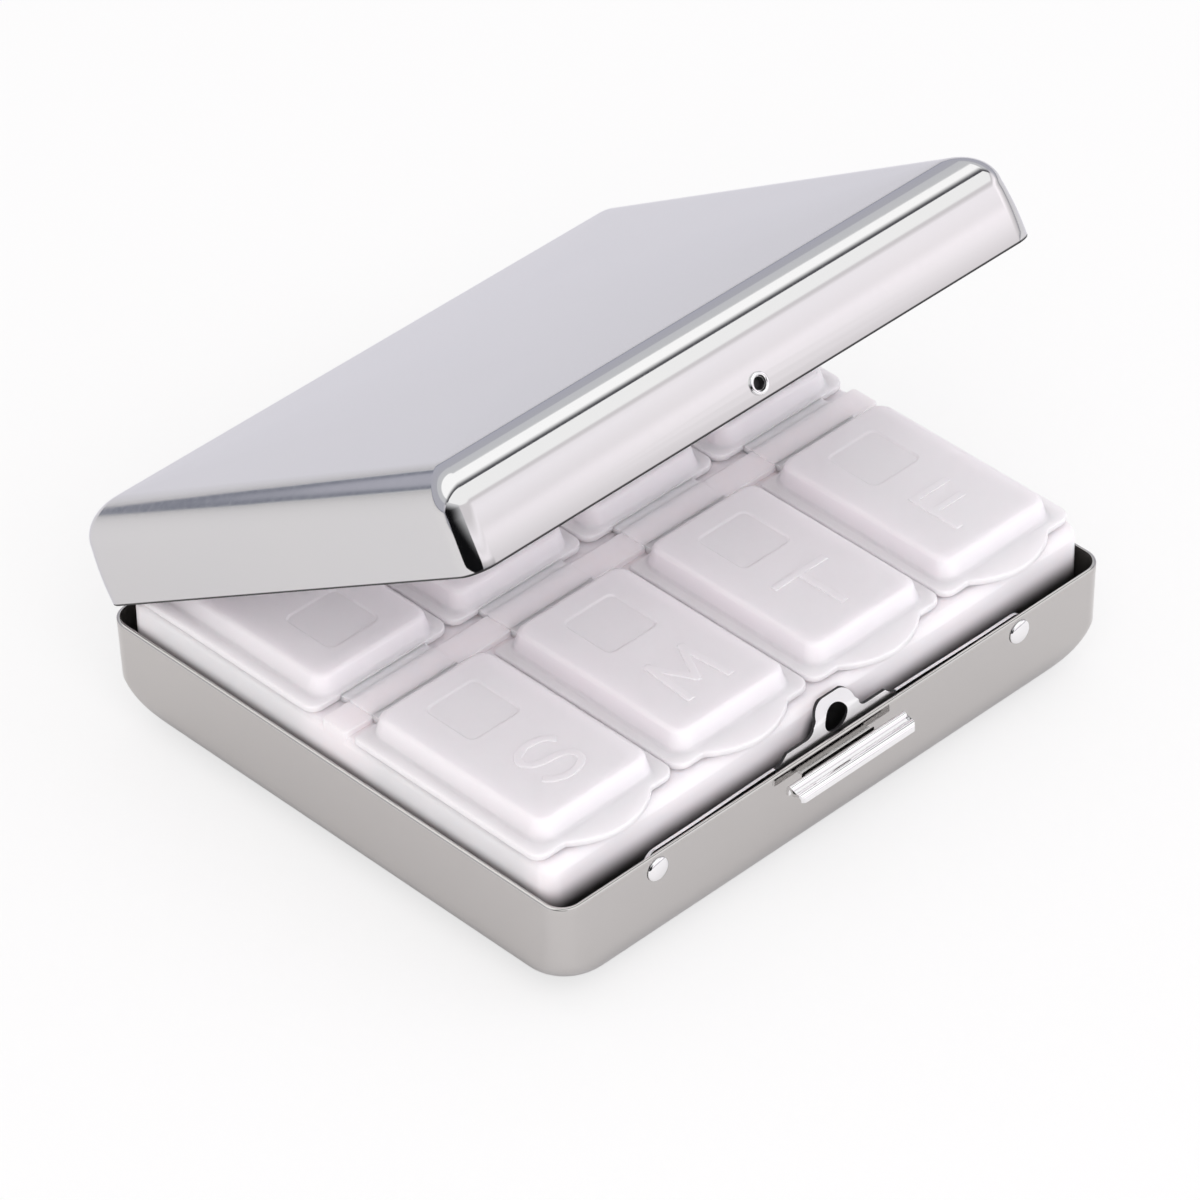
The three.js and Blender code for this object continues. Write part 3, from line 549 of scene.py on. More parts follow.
def smooth_path(points, steps):
    """A Catmull-Rom curve through points in two dimensions."""
    path = []
    led = [points[0] * 2 - points[1], *points, points[-1] * 2 - points[-2]]
    for p0, p1, p2, p3 in zip(led, led[1:], led[2:], led[3:]):
        for step in range(steps):
            t = step / steps
            path.append(
                0.5 * (2 * p1 + (p2 - p0) * t + (2 * p0 - 5 * p1 + 4 * p2 - p3) * t * t
                       + (3 * p1 - p0 - 3 * p2 + p3) * t * t * t)
            )
    path.append(points[-1].copy())
    return path


def round_edges(shape, above=40.0):
    """Breaks the sharp edges of thin sheet, as tumbling and plating leave them."""
    limit = math.radians(above)
    edges = [e for e in shape.edges if e.is_manifold and e.calc_face_angle(0.0) > limit]
    bmesh.ops.bevel(
        shape, geom=edges, offset=METAL_BEVEL, offset_type="OFFSET", segments=2,
        affect="EDGES", profile=0.5, clamp_overlap=True,
    )
    return tidied(shape)


def piece(name, shape, material, body, nodes=(), place=None):
    """Finishes a shape drawn in millimetres as a named piece, which rides on a body unless that is None."""
    if place is not None:
        moved(shape, place)
    moved(shape, Matrix.Scale(MM, 4))
    for face in shape.faces:
        face.smooth = True
    for edge in shape.edges:
        edge.smooth = edge.is_manifold and edge.calc_face_angle(0.0) < SHARP_ANGLE
    mesh = bpy.data.meshes.new(name)
    shape.to_mesh(mesh)
    shape.free()
    mesh.materials.append(material)
    obj = bpy.data.objects.new(name, mesh)
    bpy.context.scene.collection.objects.link(obj)
    even = obj.modifiers.new("even_shading", "WEIGHTED_NORMAL")
    even.keep_sharp = True
    even.weight = 60
    if body is not None:
        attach(obj, body)
    if nodes:
        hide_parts(*nodes)
    return obj


# Materials

def opaque(colour):
    """A colour as a socket takes it. A socket of another node is passed on."""
    return (*colour, 1.0) if isinstance(colour, tuple) else colour


class Graph:
    """The nodes of a material or of the world, with short ways to add and join them."""

    def __init__(self, tree):
        self.nodes = tree.nodes
        self.links = tree.links

    def fill(self, node, values):
        """Sets inputs by name or number, each to a value or to what another node gives."""
        for name, value in values.items():
            if isinstance(value, bpy.types.NodeSocket):
                self.links.new(value, node.inputs[name])
            else:
                node.inputs[name].default_value = value
        return node

    def add(self, kind, values, **settings):
        node = self.nodes.new("ShaderNode" + kind)
        for name, value in settings.items():
            setattr(node, name, value)
        return self.fill(node, values)

    def place(self, kind="Object"):
        return self.add("TexCoord", {}).outputs[kind]

    def split(self, vector):
        return self.add("SeparateXYZ", {"Vector": vector}).outputs

    def math(self, operation, *values):
        return self.add("Math", dict(enumerate(values)), operation=operation).outputs[0]

    def vector(self, operation, *values, result="Vector"):
        return self.add("VectorMath", dict(enumerate(values)), operation=operation).outputs[result]

    def noise(self, scale, detail, roughness=0.5, stretch=None):
        place = self.place()
        if stretch is not None:
            place = self.add("Mapping", {"Vector": place, "Scale": stretch}).outputs["Vector"]
        values = {"Vector": place, "Scale": scale, "Detail": detail, "Roughness": roughness}
        return self.add("TexNoise", values).outputs["Fac"]

    def ranged(self, source, from_low, from_high, low, high, **settings):
        names = ("Value", "From Min", "From Max", "To Min", "To Max")
        values = dict(zip(names, (source, from_low, from_high, low, high)))
        return self.add("MapRange", values, **settings).outputs["Result"]

    def share(self, value, start, end):
        """Nought before a start, one past an end, which may lie on either side of it."""
        first, last = (0.0, 1.0) if start < end else (1.0, 0.0)
        low, high = min(start, end), max(start, end)
        return self.ranged(value, low, high, first, last, interpolation_type="SMOOTHSTEP")

    def blend(self, share, first, second):
        values = {"Factor": share, "A": opaque(first), "B": opaque(second)}
        return self.add("Mix", values, data_type="RGBA").outputs["Result"]

    def deepened(self, base, colour, low, high):
        """Turns a colour to a deeper one between a height and a lower one, both in metres."""
        return self.blend(self.share(self.split(self.place())["Z"], high, low), base, colour)

    def bumped(self, *layers):
        """Bump nodes one after the other, each with its own height, strength and depth."""
        normal = {}
        for height, strength, distance in layers:
            values = {"Height": height, "Strength": strength, "Distance": distance, **normal}
            normal = {"Normal": self.add("Bump", values).outputs["Normal"]}
        return normal["Normal"]

    def mixed(self, share, first, second):
        return self.add("MixShader", {"Fac": share, 1: first, 2: second}).outputs["Shader"]

    def surface(self):
        return self.nodes["Material Output"].inputs["Surface"]

    def cover(self, share, shader):
        """Lays another shader over the surface where a share says so."""
        surface = self.surface()
        self.links.new(self.mixed(share, surface.links[0].from_socket, shader), surface)


def new_material(name):
    material = bpy.data.materials.new(name)
    material.use_nodes = True
    graph = Graph(material.node_tree)
    return material, graph, graph.nodes["Principled BSDF"]


def metal_material(
    name, colour, tint, smooth, rough, wave, grain, grain_stretch=(1, 1, 1), glancing=WHITE, foot=None
):
    """Plated sheet: slow waves from the press, fine polishing marks and patches of duller plating.

    Near the table its colour may deepen between two heights, as painted shade where it meets the table.
    """
    material, graph, shader = new_material(name)
    base = graph.blend(graph.noise(45.0, 4.0), colour, tint)
    # Painted contact shade, darker towards the table.
    if foot is not None:
        base = graph.deepened(base, *foot)
    marks = graph.noise(900.0, 5.0, 0.6, grain_stretch)
    waves = graph.noise(60.0, 1.0, 0.4)
    graph.fill(shader, {
        "Metallic": 1.0,
        "Specular Tint": opaque(glancing),
        "Base Color": base,
        "Roughness": graph.ranged(marks, 0.3, 0.7, smooth, rough),
        "Normal": graph.bumped((waves, wave, 0.0004), (marks, grain, 0.00001)),
    })
    return material


def plastic_material(name, colour, tint, roughness, scatter, grain, painted_depth_shade=None):
    """Milky translucent polypropylene: light spreads inside it, over a satin moulded skin.

    Where it goes down into the case its colour may deepen between two heights, as painted shade.
    """
    material, graph, shader = new_material(name)
    clouds = graph.ranged(graph.noise(55.0, 3.0, 0.55), 0.35, 0.65, 0.0, 1.0)
    base = graph.blend(clouds, colour, tint)
    # Painted shade, darker towards the bottom of the case.
    if painted_depth_shade is not None:
        base = graph.deepened(base, *painted_depth_shade)
    skin = graph.noise(1600.0, 4.0, 0.55)
    sink = graph.noise(140.0, 2.0, 0.5)
    graph.fill(shader, {
        "Base Color": base,
        "Subsurface Weight": 1.0,
        "Subsurface Radius": scatter,
        "Subsurface Scale": SCATTER_DEPTH,
        "IOR": PLASTIC_IOR,
        "Roughness": graph.ranged(skin, 0.3, 0.7, roughness - 0.05, roughness + 0.07),
        "Normal": graph.bumped((sink, 0.12, 0.0003), (skin, grain, 0.00002)),
    })
    return material


def lined(material, colour, metallic, roughness, middle):
    """Gives a dish of this material an inside surface of its own, told by which way the sheet faces. On the
    tray that dark inside is painted shade.
    """
    graph = Graph(material.node_tree)
    offset = graph.vector("SUBTRACT", graph.place(), middle)
    facing = graph.vector("DOT_PRODUCT", graph.place("Normal"), offset, result="Value")
    values = {"Base Color": opaque(colour), "Metallic": metallic, "Roughness": roughness}
    lining = graph.add("BsdfPrincipled", values).outputs["BSDF"]
    graph.cover(graph.math("LESS_THAN", facing, 0.0), lining)
    return material


def paint_shade(material, graph, share):
    """Lays painted shade, a dark surface, over a metal where a share says so."""
    values = {"Base Color": opaque(PAINTED_SHADE), "Roughness": 0.5}
    graph.cover(share, graph.add("BsdfPrincipled", values).outputs["BSDF"])
    return material


def dark_edge(material, direction, start, end, both_ways=False):
    """Paints shade on the sheet by how nearly it faces one way."""
    graph = Graph(material.node_tree)
    towards = Vector(direction).normalized()
    facing = graph.vector("DOT_PRODUCT", graph.place("Normal"), towards, result="Value")
    if both_ways:
        facing = graph.math("ABSOLUTE", facing)
    return paint_shade(material, graph, graph.share(facing, start, end))


def dark_rim(material, point, inwards):
    """Paints shade on the edge of a dish, whose rim lies in a plane through a point."""
    graph = Graph(material.node_tree)
    offset = graph.vector("SUBTRACT", graph.place(), point)
    height = graph.vector("DOT_PRODUCT", offset, inwards, result="Value")
    return paint_shade(material, graph, graph.share(height, DARK_RIM_END * MM, DARK_RIM_START * MM))


def dark_bore(material, point, axis, radius):
    """Paints shade on what lies within a radius of an axis."""
    graph = Graph(material.node_tree)
    offset = graph.vector("SUBTRACT", graph.place(), point)
    across = graph.vector("CROSS_PRODUCT", offset, axis)
    length = graph.vector("LENGTH", across, result="Value")
    return paint_shade(material, graph, graph.share(length, radius * 1.08, radius * 0.98))


def shaded_by_catch(material):
    """Darkens the insert's front wall where it stands in the shade of the catch."""
    graph = Graph(material.node_tree)
    base = graph.nodes["Principled BSDF"].inputs["Base Color"]
    x, y, z = graph.split(graph.place())
    up = graph.math("SUBTRACT", z, (RIM_Z - CATCH_SHADE_DROP) * MM)
    along = graph.math("SUBTRACT", x, CATCH_SHADE_X * MM)
    squares = [graph.math("MULTIPLY", leg, leg) for leg in (up, along)]
    away = graph.math("SQRT", graph.math("ADD", *squares))
    near = graph.share(away, CATCH_SHADE_REACH * MM, CATCH_SHADE_CORE * CATCH_SHADE_REACH * MM)
    outside = graph.share(y, -(INSERT_HALF_WIDTH - 0.9) * MM, -(INSERT_HALF_WIDTH - 0.5) * MM)
    share = graph.math("MULTIPLY", near, outside)
    graph.links.new(graph.blend(share, base.links[0].from_socket, (0.01, 0.01, 0.01)), base)
    return material


def lid_place():
    """From the lid's place when shut to its place in the photograph."""
    pivot = Matrix.Translation(HINGE_POINT)
    return pivot @ Matrix.Rotation(-LID_OPEN, 4, "X") @ pivot.inverted()


def on_lid(x, y, z):
    """A point of the shut lid, in metres, where the photograph has it."""
    return lid_place() @ Vector((x, y, z)) * MM


def small_steel(name):
    return metal_material(name, (0.88, 0.88, 0.88), (0.84, 0.84, 0.85), 0.05, 0.10, 0.05, 0.05)


def make_lid_metal():
    metal = metal_material(
        "polished_lid", (0.645, 0.64, 0.635), (0.625, 0.625, 0.63), 0.05, 0.09, 0.04, 0.05,
        glancing=(0.86, 0.865, 0.92),
    )
    metal = lined(metal, (0.95, 0.93, 0.94), 0.85, 0.3, on_lid(0.0, 0.0, RIM_Z + LID_HEIGHT / 2))
    # Painted shade along the lid's rim edge.
    return dark_rim(metal, on_lid(0.0, 0.0, RIM_Z + CLOSED_RIM_GAP), LID_TURN @ Vector((0.0, 0.0, 1.0)))


LID_TURN = lid_place().to_3x3()
case_metal = metal_material(
    "plated_case", (0.52, 0.505, 0.49), (0.505, 0.495, 0.485), 0.14, 0.24, 0.05, 0.15, (1.0, 1.0, 0.15)
)
# The tray darkens towards the table as painted contact shade.
tray_metal = metal_material(
    "plated_tray", (0.535, 0.52, 0.505), (0.52, 0.51, 0.50), 0.07, 0.12, 0.03, 0.06, (1.0, 1.0, 0.15),
    foot=((0.26, 0.25, 0.245), 0.001, 0.007),
)
# The tray's inside is painted dark, as shade inside the case.
tray_metal = lined(tray_metal, (0.10, 0.095, 0.09), 0.6, 0.4, (0.0, 0.0, RIM_Z / 2 * MM))
lid_metal = make_lid_metal()
bright_metal = metal_material(
    "bright_spring", (0.80, 0.80, 0.80), (0.76, 0.76, 0.77), 0.05, 0.10, 0.10, 0.05
)
# The tongue's cut edges get painted dark reflections.
tongue_metal = metal_material(
    "tongue_spring_painted_dark_edges", (0.97, 0.97, 0.97), (0.93, 0.93, 0.94), 0.28, 0.34, 0.10, 0.05
)
tongue_metal = dark_edge(tongue_metal, (0.0, 1.0, 0.0), 0.75, 0.55, both_ways=True)
thumb_metal = small_steel("ribbed_spring")
# The rivets get painted shade on their lower right side.
rivet_metal = dark_edge(small_steel("rivet_steel"), (0.75, -0.1, -0.6), 0.45, 0.62)
# Painted shade inside the stud's bore.
stud_metal = dark_bore(
    small_steel("stud_steel"), on_lid(0.0, FRONT_FACE, STUD_Z), LID_TURN @ Vector((0.0, 1.0, 0.0)),
    STUD_BORE_RADIUS * MM,
)
# The insert is painted darker low down, as shade inside the case.
insert_plastic = shaded_by_catch(plastic_material(
    "milky_insert", (0.89, 0.845, 0.865), (0.905, 0.865, 0.885), 0.42, (1.0, 0.92, 0.9), 0.2,
    painted_depth_shade=((0.02, 0.019, 0.018), (RIM_Z - 3.0) * MM, (RIM_Z + 1.0) * MM),
))
flap_plastic = plastic_material(
    "milky_flap", (0.89, 0.84, 0.88), (0.905, 0.86, 0.90), 0.36, (1.0, 0.93, 0.95), 0.12
)


# Case and lid

def pressed_shell(height, leans, rim_corner, far_corner, edge, rim_round, rim_slope=0.0, crown=0.0):
    """A dish of even sheet with its floor at zero, a round bottom edge and a trimmed rim on top.

    Its walls lean outwards by one slope at the round edge and another at the rim. Its floor may be crowned,
    and its rim may be ground to fall towards the outside.
    """
    half = SHEET / 2
    first, last = leans
    bulge = first * first / (2 * (first - last)) if last < 0 else (first + last) / 2
    full_tilt = math.atan2(1.0, first)

    def ring(offset, inset, corner, z):
        half_x = HALF_LENGTH - offset - inset
        half_y = HALF_WIDTH - offset - inset
        radius = min(max(corner - offset, LEAST_CORNER), half_y - 0.01)
        return rounded_ring(half_x, half_y, radius, z)

    def skin(offset):
        radius = edge - offset
        wall_foot = crown + edge * (1 - math.cos(full_tilt))
        wall_height = height - half - wall_foot
        foot_inset = bulge * wall_height
        span = HALF_WIDTH - edge
        first_tilt = math.atan2(2 * crown, span)
        edge_inset = foot_inset + radius * (math.sin(full_tilt) - math.sin(first_tilt))
        rings = []
        if crown > 0:
            for step in range(CROWN_STEPS, 0, -1):
                share = step / CROWN_STEPS
                inset = edge_inset + CROWN_REACH * span * share
                corner = far_corner + offset + CROWN_CORNER * span * share
                rings.append(ring(offset, inset, corner, offset + crown * (1 - share) ** 2))
        for step in range(EDGE_STEPS + 1):
            share = step / EDGE_STEPS
            tilt = first_tilt + (full_tilt - first_tilt) * share
            inset = foot_inset + radius * (math.sin(full_tilt) - math.sin(tilt))
            corner = far_corner + (rim_corner - far_corner) * share
            z = offset + crown + radius * (math.cos(first_tilt) - math.cos(tilt))
            rings.append(ring(offset, inset, corner, z))
        for step in range(1, WALL_STEPS):
            share = step / WALL_STEPS
            inset = foot_inset - wall_height * (first * share + (last - first) * share * share / 2)
            rings.append(ring(offset, inset, rim_corner, wall_foot + wall_height * share))
        return rings

    rim_inset = 0.0
    if last < 0:
        wall_height = height - half - crown - edge * (1 - math.cos(full_tilt))
        rim_inset = wall_height * (bulge - (first + last) / 2)
    roll = []
    for step in range(ROLL_STEPS + 1):
        angle = math.pi * step / ROLL_STEPS
        offset = half * (1 - math.cos(angle))
        z = height - rim_slope * (SHEET - offset) - rim_round * (1 - math.sin(angle))
        roll.append(ring(offset, rim_inset, rim_corner, z))
    return loft(skin(0.0) + roll + list(reversed(skin(SHEET))))


def make_tray():
    tray = pressed_shell(
        RIM_Z, TRAY_LEANS, TRAY_RIM_CORNER, TRAY_BASE_CORNER, TRAY_EDGE, TRAY_RIM_ROUND,
        rim_slope=TRAY_RIM_SLOPE,
    )
    slot = rounded_rectangle(
        THUMB_CENTRE_X - TAB_WIDTH / 2 - SLIDE_GAP, THUMB_CENTRE_X + TAB_WIDTH / 2 + SLIDE_GAP,
        TAB_Z - THUMB_SHEET / 2 - SLIDE_GAP, TAB_Z + THUMB_SHEET / 2 + SLIDE_GAP, 0.3,
    )
    tools = [upright(plate(slot, 0.0, 2.5), FRONT_FACE - 1.0)]
    for side in (-1, 1):
        hole_start = (side * RIVET_X, FRONT_FACE - 1.0, RIVET_Z)
        tools.append(rod(hole_start, (0, 1, 0), RIVET_SHANK_RADIUS + SEAT_GAP, 2.5))
    return piece("tray_pressing", cut(tray, *tools), tray_metal, "tray", ["tray_shell"])


def make_lid():
    lid = pressed_shell(
        LID_HEIGHT, LID_LEANS, LID_RIM_CORNER, LID_TOP_CORNER, LID_EDGE, LID_RIM_ROUND,
        crown=LID_CROWN,
    )
    over = Matrix.Translation((0, 0, RIM_Z + CLOSED_RIM_GAP + LID_HEIGHT)) @ Matrix.Rotation(math.pi, 4, "X")
    lid = tidied(moved(lid, over))
    hole = rod((0, FRONT_FACE - 1.0, STUD_Z), (0, 1, 0), STUD_NECK_RADIUS + SEAT_GAP, 2.5)
    return piece("lid_pressing", cut(lid, hole), lid_metal, "lid", ["lid_shell"], lid_place())


# Hinge

def hinge_leaf(direction, first_knuckle):
    """A leaf whose knuckles are curled from its own sheet round the pin."""
    front = HALF_WIDTH + SEAT_GAP + LEAF_SET_BACK
    back = front + LEAF_THICKNESS
    half = HINGE_LENGTH / 2
    edge = KNUCKLE_RADIUS + SEAT_GAP
    corner = LEAF_CORNER
    far = LEAF_REACH
    outline = (
        arc((half - corner, -far + corner), corner, -90, 0, 6)
        + [Vector((half, -edge)), Vector((-half, -edge))]
        + arc((-half + corner, -far + corner), corner, 180, 270, 6)
    )
    leaf = upright(plate(outline, 0.0, back - front, 0.08, 0.08), front)
    leaf = moved(leaf, Matrix.Translation((0, 0, HINGE_POINT.z)))
    pitch = HINGE_LENGTH / HINGE_KNUCKLES
    curl_radius = KNUCKLE_RADIUS - LEAF_THICKNESS / 2
    centre_y = (front + back) / 2
    for i in range(first_knuckle, HINGE_KNUCKLES, 2):
        start = -half + i * pitch + (KNUCKLE_GAP / 2 if i > 0 else 0.0)
        end = -half + (i + 1) * pitch - (KNUCKLE_GAP / 2 if i < HINGE_KNUCKLES - 1 else 0.0)
        path = [Vector((centre_y, HINGE_POINT.z - z)) for z in (edge + 0.6, edge + 0.3, edge, 0.5)]
        for step in range(29):
            angle = math.radians(180.0 - 10.0 * step)
            offset = Vector((math.cos(angle), math.sin(angle))) * curl_radius
            path.append(Vector((HINGE_POINT.y, HINGE_POINT.z)) + offset)
        curl = bar_along_x(strip(path, LEAF_THICKNESS), start, end)
        leaf = joined(leaf, curl)
    welds = []
    for x in WELD_PLACES:
        profile = [(0, 0), (WELD_RADIUS * 0.8, 0), (WELD_RADIUS, WELD_DEPTH), (WELD_RADIUS, 1.0), (0, 1.0)]
        place = (x, back - WELD_DEPTH, HINGE_POINT.z - (far + edge) / 2)
        welds.append(turned(profile, place, (0, 1, 0), 24))
    leaf = cut(leaf, *welds)
    if direction > 0:
        mirror = Matrix.Translation((0, 0, HINGE_POINT.z)) @ Matrix.Scale(-1, 4, (0, 0, 1))
        leaf = tidied(moved(leaf, mirror @ Matrix.Translation((0, 0, -HINGE_POINT.z))))
    return leaf


def make_hinge():
    piece("tray_leaf", hinge_leaf(-1, 0), case_metal, "tray", ["tray_hinge_leaf"])
    piece("lid_leaf", hinge_leaf(1, 1), case_metal, "lid", ["lid_hinge_leaf"], lid_place())
    half = HINGE_LENGTH / 2 + SEAT_GAP
    profile = [(PIN_HEAD_RADIUS * (1 - fall), PIN_HEAD_LENGTH * rise) for rise, fall in quarter_round(6)]
    profile.append((PIN_RADIUS, PIN_HEAD_LENGTH))
    length = 2 * (half + PIN_HEAD_LENGTH)
    profile += [(radius, length - distance) for radius, distance in reversed(profile)]
    start = (-half - PIN_HEAD_LENGTH, HINGE_POINT.y, HINGE_POINT.z)
    pin = turned(profile, start, (1, 0, 0), 32)
    piece("peened_pin", pin, bright_metal, "tray", ["hinge_pin"])


# Catch

def bar_front(x):
    share = (abs(x) - BAR_FLAT_HALF) / (BAR_SEAT_START - BAR_FLAT_HALF)
    blend = 0.5 - 0.5 * math.cos(math.pi * min(max(share, 0.0), 1.0))
    return BAR_MIDDLE_FRONT + (BAR_END_FRONT - BAR_MIDDLE_FRONT) * blend


def make_spring_arms():
    """The two arms of the leaf spring, which bend between the riveted ends and the tongue."""
    steps = 40
    for side, name in ((-1, "left"), (1, "right")):
        centres = []
        for step in range(steps + 1):
            x = BAR_FLAT_HALF + (BAR_HALF_LENGTH - BAR_FLAT_HALF) * step / steps
            centres.append(Vector((side * x, bar_front(x) + BAR_THICKNESS / 2)))
        sheet = plate(strip(centres, BAR_THICKNESS), 0.0, RIM_Z)
        outline = rounded_rectangle(
            -BAR_HALF_LENGTH, BAR_HALF_LENGTH, RIM_Z - BAR_DEPTH, RIM_Z, BAR_END_RADIUS
        )
        blank = upright(plate(outline, 0.0, 4.0), FRONT_FACE)
        arm = combine(tidied(sheet), blank, "INTERSECT")
        hole = rod((side * RIVET_X, FRONT_FACE, RIVET_Z), (0, 1, 0), RIVET_SHANK_RADIUS + SEAT_GAP, 4.0)
        arm = round_edges(cut(arm, hole))
        obj = piece("spring_" + name, arm, bright_metal, None, ["spring_arm_" + name])
        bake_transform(obj)


def make_tongue():
    bottom = RIM_Z - BAR_DEPTH
    shoulder = RIM_Z + SHOULDER_HEIGHT
    half = TONGUE_WIDTH / 2
    top_half = TONGUE_TOP_WIDTH / 2
    bend_z = RIM_Z + TONGUE_BEND_HEIGHT
    reach = TONGUE_HEIGHT - TONGUE_BEND_HEIGHT
    middle_y = BAR_MIDDLE_FRONT + BAR_THICKNESS / 2
    centres = [Vector((middle_y, bottom)), Vector((middle_y, bend_z - 0.4))]
    lean = 0.0
    point = centres[-1].copy()
    for _ in range(8):
        lean += TONGUE_BEND_ANGLE / 8
        point = point + Vector((math.sin(lean), math.cos(lean))) * 0.1
        centres.append(point)
    centres.append(point + Vector((math.sin(lean), math.cos(lean))) * (reach - 0.35))
    sheet = bar_along_x(strip(centres, BAR_THICKNESS), -BAR_FLAT_HALF, BAR_FLAT_HALF)
    top = max(c.y for c in centres)
    flare = TONGUE_FLARE
    crown = TONGUE_CORNER
    right = (
        [
            Vector((BAR_FLAT_HALF, bottom - 1)), Vector((BAR_FLAT_HALF, RIM_Z)),
            Vector((SHOULDER_HALF_WIDTH + SHOULDER_HEIGHT, RIM_Z)), Vector((SHOULDER_HALF_WIDTH, shoulder)),
        ]
        + arc((half + flare, shoulder + flare), flare, 270, 180, 10)
        + arc((top_half - crown, top - crown), crown, 8, 90, 12)
    )
    outline = right + [Vector((-point.x, point.y)) for point in reversed(right)]
    blank = upright(plate(outline, 0.0, 4.0), BAR_MIDDLE_FRONT - 1.0)
    tongue = combine(sheet, blank, "INTERSECT")
    hole = rod((0, BAR_MIDDLE_FRONT - 1, RIM_Z + CATCH_HOLE_HEIGHT), (0, 1, 0), CATCH_HOLE_RADIUS, 4.0)
    tongue = round_edges(cut(tongue, hole))
    piece("tongue_plate", tongue, tongue_metal, "latch", ["latch_tongue"])


def make_thumb_piece():
    rear = FRONT_FACE - THUMB_STAND_OFF - THUMB_SHEET / 2
    front = rear - THUMB_DEPTH + THUMB_SHEET

    def at(share, height):
        return Vector((rear + (front - rear) * share, THUMB_Z - THUMB_SLOPE * share + height))

    bends = [at(share, height * THUMB_RIB_HEIGHT) for share, height in THUMB_WAVE]
    wave = smooth_path([at(0.0, -THUMB_FLANGE_HEIGHT)] + bends, 8)
    min_x = THUMB_LOW.x
    max_x = THUMB_HIGH.x
    ribbed = bar_along_x(strip(wave, THUMB_SHEET), min_x, max_x)
    plan = rounded_rectangle(
        min_x, max_x, front - THUMB_SHEET, rear + THUMB_CORNER + THUMB_SHEET, THUMB_CORNER
    )
    ribbed = combine(ribbed, plate(plan, 0.0, RIM_Z), "INTERSECT")
    half_tab = TAB_WIDTH / 2
    tab_outline = rounded_rectangle(
        THUMB_CENTRE_X - half_tab, THUMB_CENTRE_X + half_tab, rear, BAR_MIDDLE_FRONT - 0.02, 0.15
    )
    tab = plate(tab_outline, TAB_Z - THUMB_SHEET / 2, TAB_Z + THUMB_SHEET / 2)
    thumb = round_edges(joined(ribbed, tab), above=50.0)
    piece("thumb_plate", thumb, thumb_metal, "latch", ["thumb_piece"])


def make_rivets():
    head_back = FRONT_FACE - RIVET_FIT
    tail_front = BAR_END_FRONT + BAR_THICKNESS + RIVET_FIT
    span = tail_front - head_back
    profile = [
        (RIVET_HEAD_RADIUS * (1 - fall), RIVET_HEAD_HEIGHT * (rise - 1)) for rise, fall in quarter_round(12)
    ]
    profile += [(RIVET_SHANK_RADIUS, 0.0), (RIVET_SHANK_RADIUS, span), (RIVET_TAIL_RADIUS, span)]
    profile += [
        (RIVET_TAIL_RADIUS * (1 - rise), span + RIVET_TAIL_HEIGHT * (1 - fall))
        for rise, fall in quarter_round(6)
    ]
    for side, name in ((-1, "left"), (1, "right")):
        shape = turned(profile, (side * RIVET_X, head_back, RIVET_Z), (0, 1, 0), 48)
        piece("rivet_" + name, shape, rivet_metal, "tray", ["latch_rivet_" + name])


def make_stud():
    flange_front = FRONT_FACE - SEAT_GAP - STUD_FLANGE_THICKNESS + STUD_FLANGE_SHIFT
    flange_back = FRONT_FACE - STUD_FIT
    nose_front = FRONT_INSIDE + STUD_FIT
    nose_tip = BAR_MIDDLE_FRONT + STUD_ENGAGEMENT
    nose_round = (nose_tip - nose_front) / 2
    rim = (STUD_FLANGE_RADIUS - STUD_MOUTH_RADIUS) / 2
    rim_middle = STUD_MOUTH_RADIUS + rim
    profile = [(0.0, STUD_BORE_DEPTH)]
    profile += [(STUD_BORE_RADIUS, depth) for depth in (STUD_BORE_DEPTH, STUD_MOUTH_DEPTH)]
    for step in range(9):
        angle = math.pi - math.pi * step / 8
        profile.append((rim_middle + rim * math.cos(angle), rim - rim * math.sin(angle)))
    back = flange_back - flange_front
    profile += [(STUD_FLANGE_RADIUS, back), (STUD_NECK_RADIUS, back)]
    profile += [(STUD_NECK_RADIUS, nose_front - flange_front), (STUD_NOSE_RADIUS, nose_front - flange_front)]
    profile += [
        (STUD_NOSE_RADIUS - nose_round * rise, nose_tip - nose_round * fall - flange_front)
        for rise, fall in quarter_round(6)
    ]
    profile.append((0.0, nose_tip - flange_front))
    shape = turned(profile, (0, flange_front, STUD_Z), (0, 1, 0), 48)
    piece("stud_eyelet", shape, stud_metal, "lid", ["catch_stud"], lid_place())


# Insert

def column_centre(column):
    return (column - (BIN_COLUMNS - 1) / 2) * BIN_PITCH


def bin_tool(column, row):
    left_wall = BIN_WALL if column == 0 else BIN_WALL / 2
    right_wall = BIN_WALL if column == BIN_COLUMNS - 1 else BIN_WALL / 2
    half_x = (BIN_PITCH - left_wall - right_wall) / 2
    half_y = (INSERT_HALF_WIDTH - BIN_LONG_WALL - BIN_SPINE / 2) / 2
    centre = (column_centre(column) + (left_wall - right_wall) / 2, row * (BIN_SPINE / 2 + half_y))
    edge = INSERT_EDGE - BIN_WALL
    floor = INSERT_FLOOR + BIN_WALL
    rings = []
    for rise, fall in reversed(quarter_round(EDGE_STEPS)):
        inset = edge * rise
        rings.append(rounded_ring(half_x - inset, half_y - inset, BIN_CORNER, floor + edge * fall, centre))
    for rise, fall in quarter_round(FILLET_STEPS):
        z = INSERT_TOP - BIN_MOUTH_ROUND * fall
        rings.append(grown_ring(half_x, half_y, BIN_CORNER, BIN_MOUTH_ROUND * rise, z, centre))
    rings.append(grown_ring(half_x, half_y, BIN_CORNER, BIN_MOUTH_ROUND, INSERT_TOP + 3, centre))
    return loft(rings)


